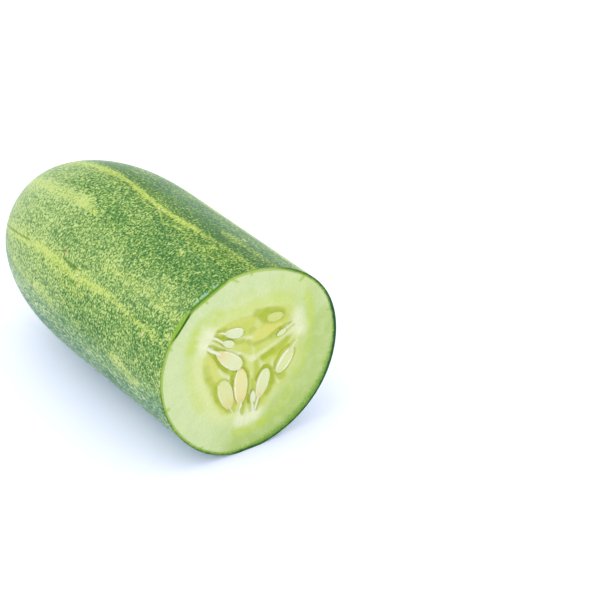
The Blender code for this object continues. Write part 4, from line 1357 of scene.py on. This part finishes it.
class CUCUMBER_OT_flesh(bpy.types.Operator):
    """Make the flesh: the painted relief of the cut face, and the body behind it"""

    bl_idname = "cucumber.flesh"
    bl_label = "Flesh"

    def execute(self, context):
        settings = context.scene.cucumber_flesh
        peel = context.scene.cucumber_peel
        inset = peel.thickness / MM - 0.01
        columns = 440
        face_rings = 150
        back_rings = 26
        innermost = 0.004
        behind_face = 0.002
        before_tip = 0.985
        angle = np.linspace(-math.pi / 2, math.pi * 1.5, columns, endpoint=False)
        rows = []
        for share in np.linspace(innermost, 1, face_rings):
            edge = ring_of_points(0, 1, angle, inset)
            rows.append(edge * share)
        for share in np.linspace(behind_face, before_tip, back_rings):
            distance, outward = side_profile(peel, share, inset)
            rows.append(ring_of_points(distance, outward, angle, inset))
        points = np.vstack(rows)
        faces = grid_faces(len(rows), columns)
        last = (len(rows) - 1) * columns
        faces.append(tuple(range(columns)))
        faces.append(tuple(range(last, last + columns)))
        mesh = mesh_from_points("flesh", points, faces)
        face_outwards(mesh)
        points = local_points(mesh)
        face = points[:, 0] > -0.01
        spots = points[:, 1:]
        gel = (1 - (1 - coverage(spots, GEL, 0.9, 1.3)) * (1 - coverage(spots, CORE))) * face
        # The clefts' dark olive is partly painted shade.
        deep = coverage(spots, DEEP_GEL_AND_SHADE, 0.55, 1.7) * face
        pale = coverage(spots, PALE) * face
        amber = coverage(spots, AMBER)
        from_axis = np.hypot(spots[:, 0], spots[:, 1])
        around = np.arctan2(spots[:, 1], spots[:, 0])
        streaks = sum(np.sin(k * around + 0.09 * k * np.sin(0.21 * from_axis + k)) for k in (17, 29, 43, 71))
        paint = {
            "gel": gel,
            "deep": deep,
            "pale": pale,
            "amber": amber,
            "lime": coverage(spots, LIME),
            "green": coverage(spots, GREEN_AND_SHADE),
            "inner": 1 - smoothstep(15, 21.5, from_axis),
            "streaks": smoothstep(-1, 3, streaks) * smoothstep(9, 17, from_axis),
        }
        set_attributes(mesh, paint)
        paint_edge(mesh, points)
        gel = gel * (1 - 0.9 * amber)
        sink = settings.gel_sink * gel + settings.cleft_sink * deep - 0.1 * MM * pale * (1 - deep)
        points[:, 0] -= sink / MM * (1 - smoothstep(20, 24, from_axis))
        set_points(mesh, wear_back(points))
        material = flesh_material(settings)
        piece = make_object("flesh_body", mesh, material)
        mesh.set_sharp_from_angle(angle=math.radians(60))
        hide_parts("flesh")
        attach(piece, "root")
        return {"FINISHED"}


class CUCUMBER_OT_seeds(bpy.types.Operator):
    """Make the three clusters of seeds with their stalks"""

    bl_idname = "cucumber.seeds"
    bl_label = "Seeds"

    def execute(self, context):
        settings = context.scene.cucumber_seeds
        material = seed_material(settings, context.scene.cucumber_flesh)
        for name, seeds in SEEDS.items():
            points, faces, paint = seed_cluster_mesh(name, seeds, settings.thickness)
            mesh = mesh_from_points(name, np.vstack(points), faces)
            set_attributes(mesh, {key: np.concatenate(values) for key, values in paint.items()})
            face_outwards(mesh)
            piece = make_object(name + "_seeds", mesh, material)
            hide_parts(name)
            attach(piece, "root")
        return {"FINISHED"}


class CUCUMBER_OT_stage(bpy.types.Operator):
    """Set up the pale floor, the soft light and the camera"""

    bl_idname = "cucumber.stage"
    bl_label = "Stage"

    def execute(self, context):
        settings = context.scene.cucumber_stage
        scene = context.scene
        mesh = bpy.data.meshes.new("floor")
        reach = 6.0
        corners = [(-reach, -reach, 0), (reach, -reach, 0), (reach, reach, 0), (-reach, reach, 0)]
        mesh.from_pydata(corners, [], [(0, 1, 2, 3)])
        floor = bpy.data.objects.new("floor", mesh)
        scene.collection.objects.link(floor)
        mesh.materials.append(floor_material())

        world = bpy.data.worlds.new("soft light")
        world.use_nodes = True
        sky = world.node_tree.nodes["Background"]
        sky.inputs["Color"].default_value = (0.88, 0.92, 1.0, 1)
        sky.inputs["Strength"].default_value = settings.world
        scene.world = world

        light = bpy.data.lights.new("key", "SUN")
        light.energy = settings.sun
        light.angle = math.radians(60)
        light.color = (1.0, 0.96, 0.9)
        key = bpy.data.objects.new("key", light)
        key.rotation_mode = "QUATERNION"
        key.rotation_quaternion = Vector((-0.2, -0.45, 0.87)).to_track_quat("Z", "Y")
        scene.collection.objects.link(key)

        azimuth, elevation = settings.azimuth, settings.elevation
        flat = math.cos(elevation)
        back = Vector((math.sin(azimuth) * flat, -math.cos(azimuth) * flat, math.sin(elevation)))
        lens = bpy.data.cameras.new("camera")
        lens.lens = settings.lens
        lens.sensor_width = 36
        lens.clip_start = 0.01
        lens.clip_end = 50
        camera = bpy.data.objects.new("camera", lens)
        turn = (-back).to_track_quat("-Z", "Y")
        right = turn @ Vector((1, 0, 0))
        up = turn @ Vector((0, 1, 0))
        camera.location = CUT + back * settings.distance + (right * AIM_RIGHT + up * AIM_UP) * MM
        camera.rotation_mode = "QUATERNION"
        camera.rotation_quaternion = turn
        scene.collection.objects.link(camera)
        scene.camera = camera
        scene.view_settings.view_transform = "Standard"
        return {"FINISHED"}


class CUCUMBER_PT_panel(bpy.types.Panel):
    """Lists the pieces of the cucumber and their settings"""

    bl_idname = "CUCUMBER_PT_panel"
    bl_label = "Cut cucumber"
    bl_space_type = "VIEW_3D"
    bl_region_type = "UI"
    bl_category = "Cucumber"

    def draw(self, context):
        scene = context.scene
        groups = (scene.cucumber_peel, scene.cucumber_flesh, scene.cucumber_seeds, scene.cucumber_stage)
        for operator in OPERATORS:
            self.layout.operator(operator.bl_idname)
        for group in groups:
            box = self.layout.box()
            for name in group.__annotations__:
                box.prop(group, name)


GROUPS = {
    "cucumber_peel": PeelSettings,
    "cucumber_flesh": FleshSettings,
    "cucumber_seeds": SeedSettings,
    "cucumber_stage": StageSettings,
}
OPERATORS = (CUCUMBER_OT_peel, CUCUMBER_OT_scars, CUCUMBER_OT_flesh, CUCUMBER_OT_seeds, CUCUMBER_OT_stage)
CLASSES = (*GROUPS.values(), *OPERATORS, CUCUMBER_PT_panel)


def register():
    for made in CLASSES:
        bpy.utils.register_class(made)
    for name, group in GROUPS.items():
        setattr(bpy.types.Scene, name, bpy.props.PointerProperty(type=group))


def unregister():
    for name in GROUPS:
        delattr(bpy.types.Scene, name)
    for made in reversed(CLASSES):
        bpy.utils.unregister_class(made)


def main():
    register()
    bpy.ops.cucumber.peel()
    bpy.ops.cucumber.scars()
    bpy.ops.cucumber.flesh()
    bpy.ops.cucumber.seeds()
    bpy.ops.cucumber.stage()


if __name__ == "__main__":
    main()
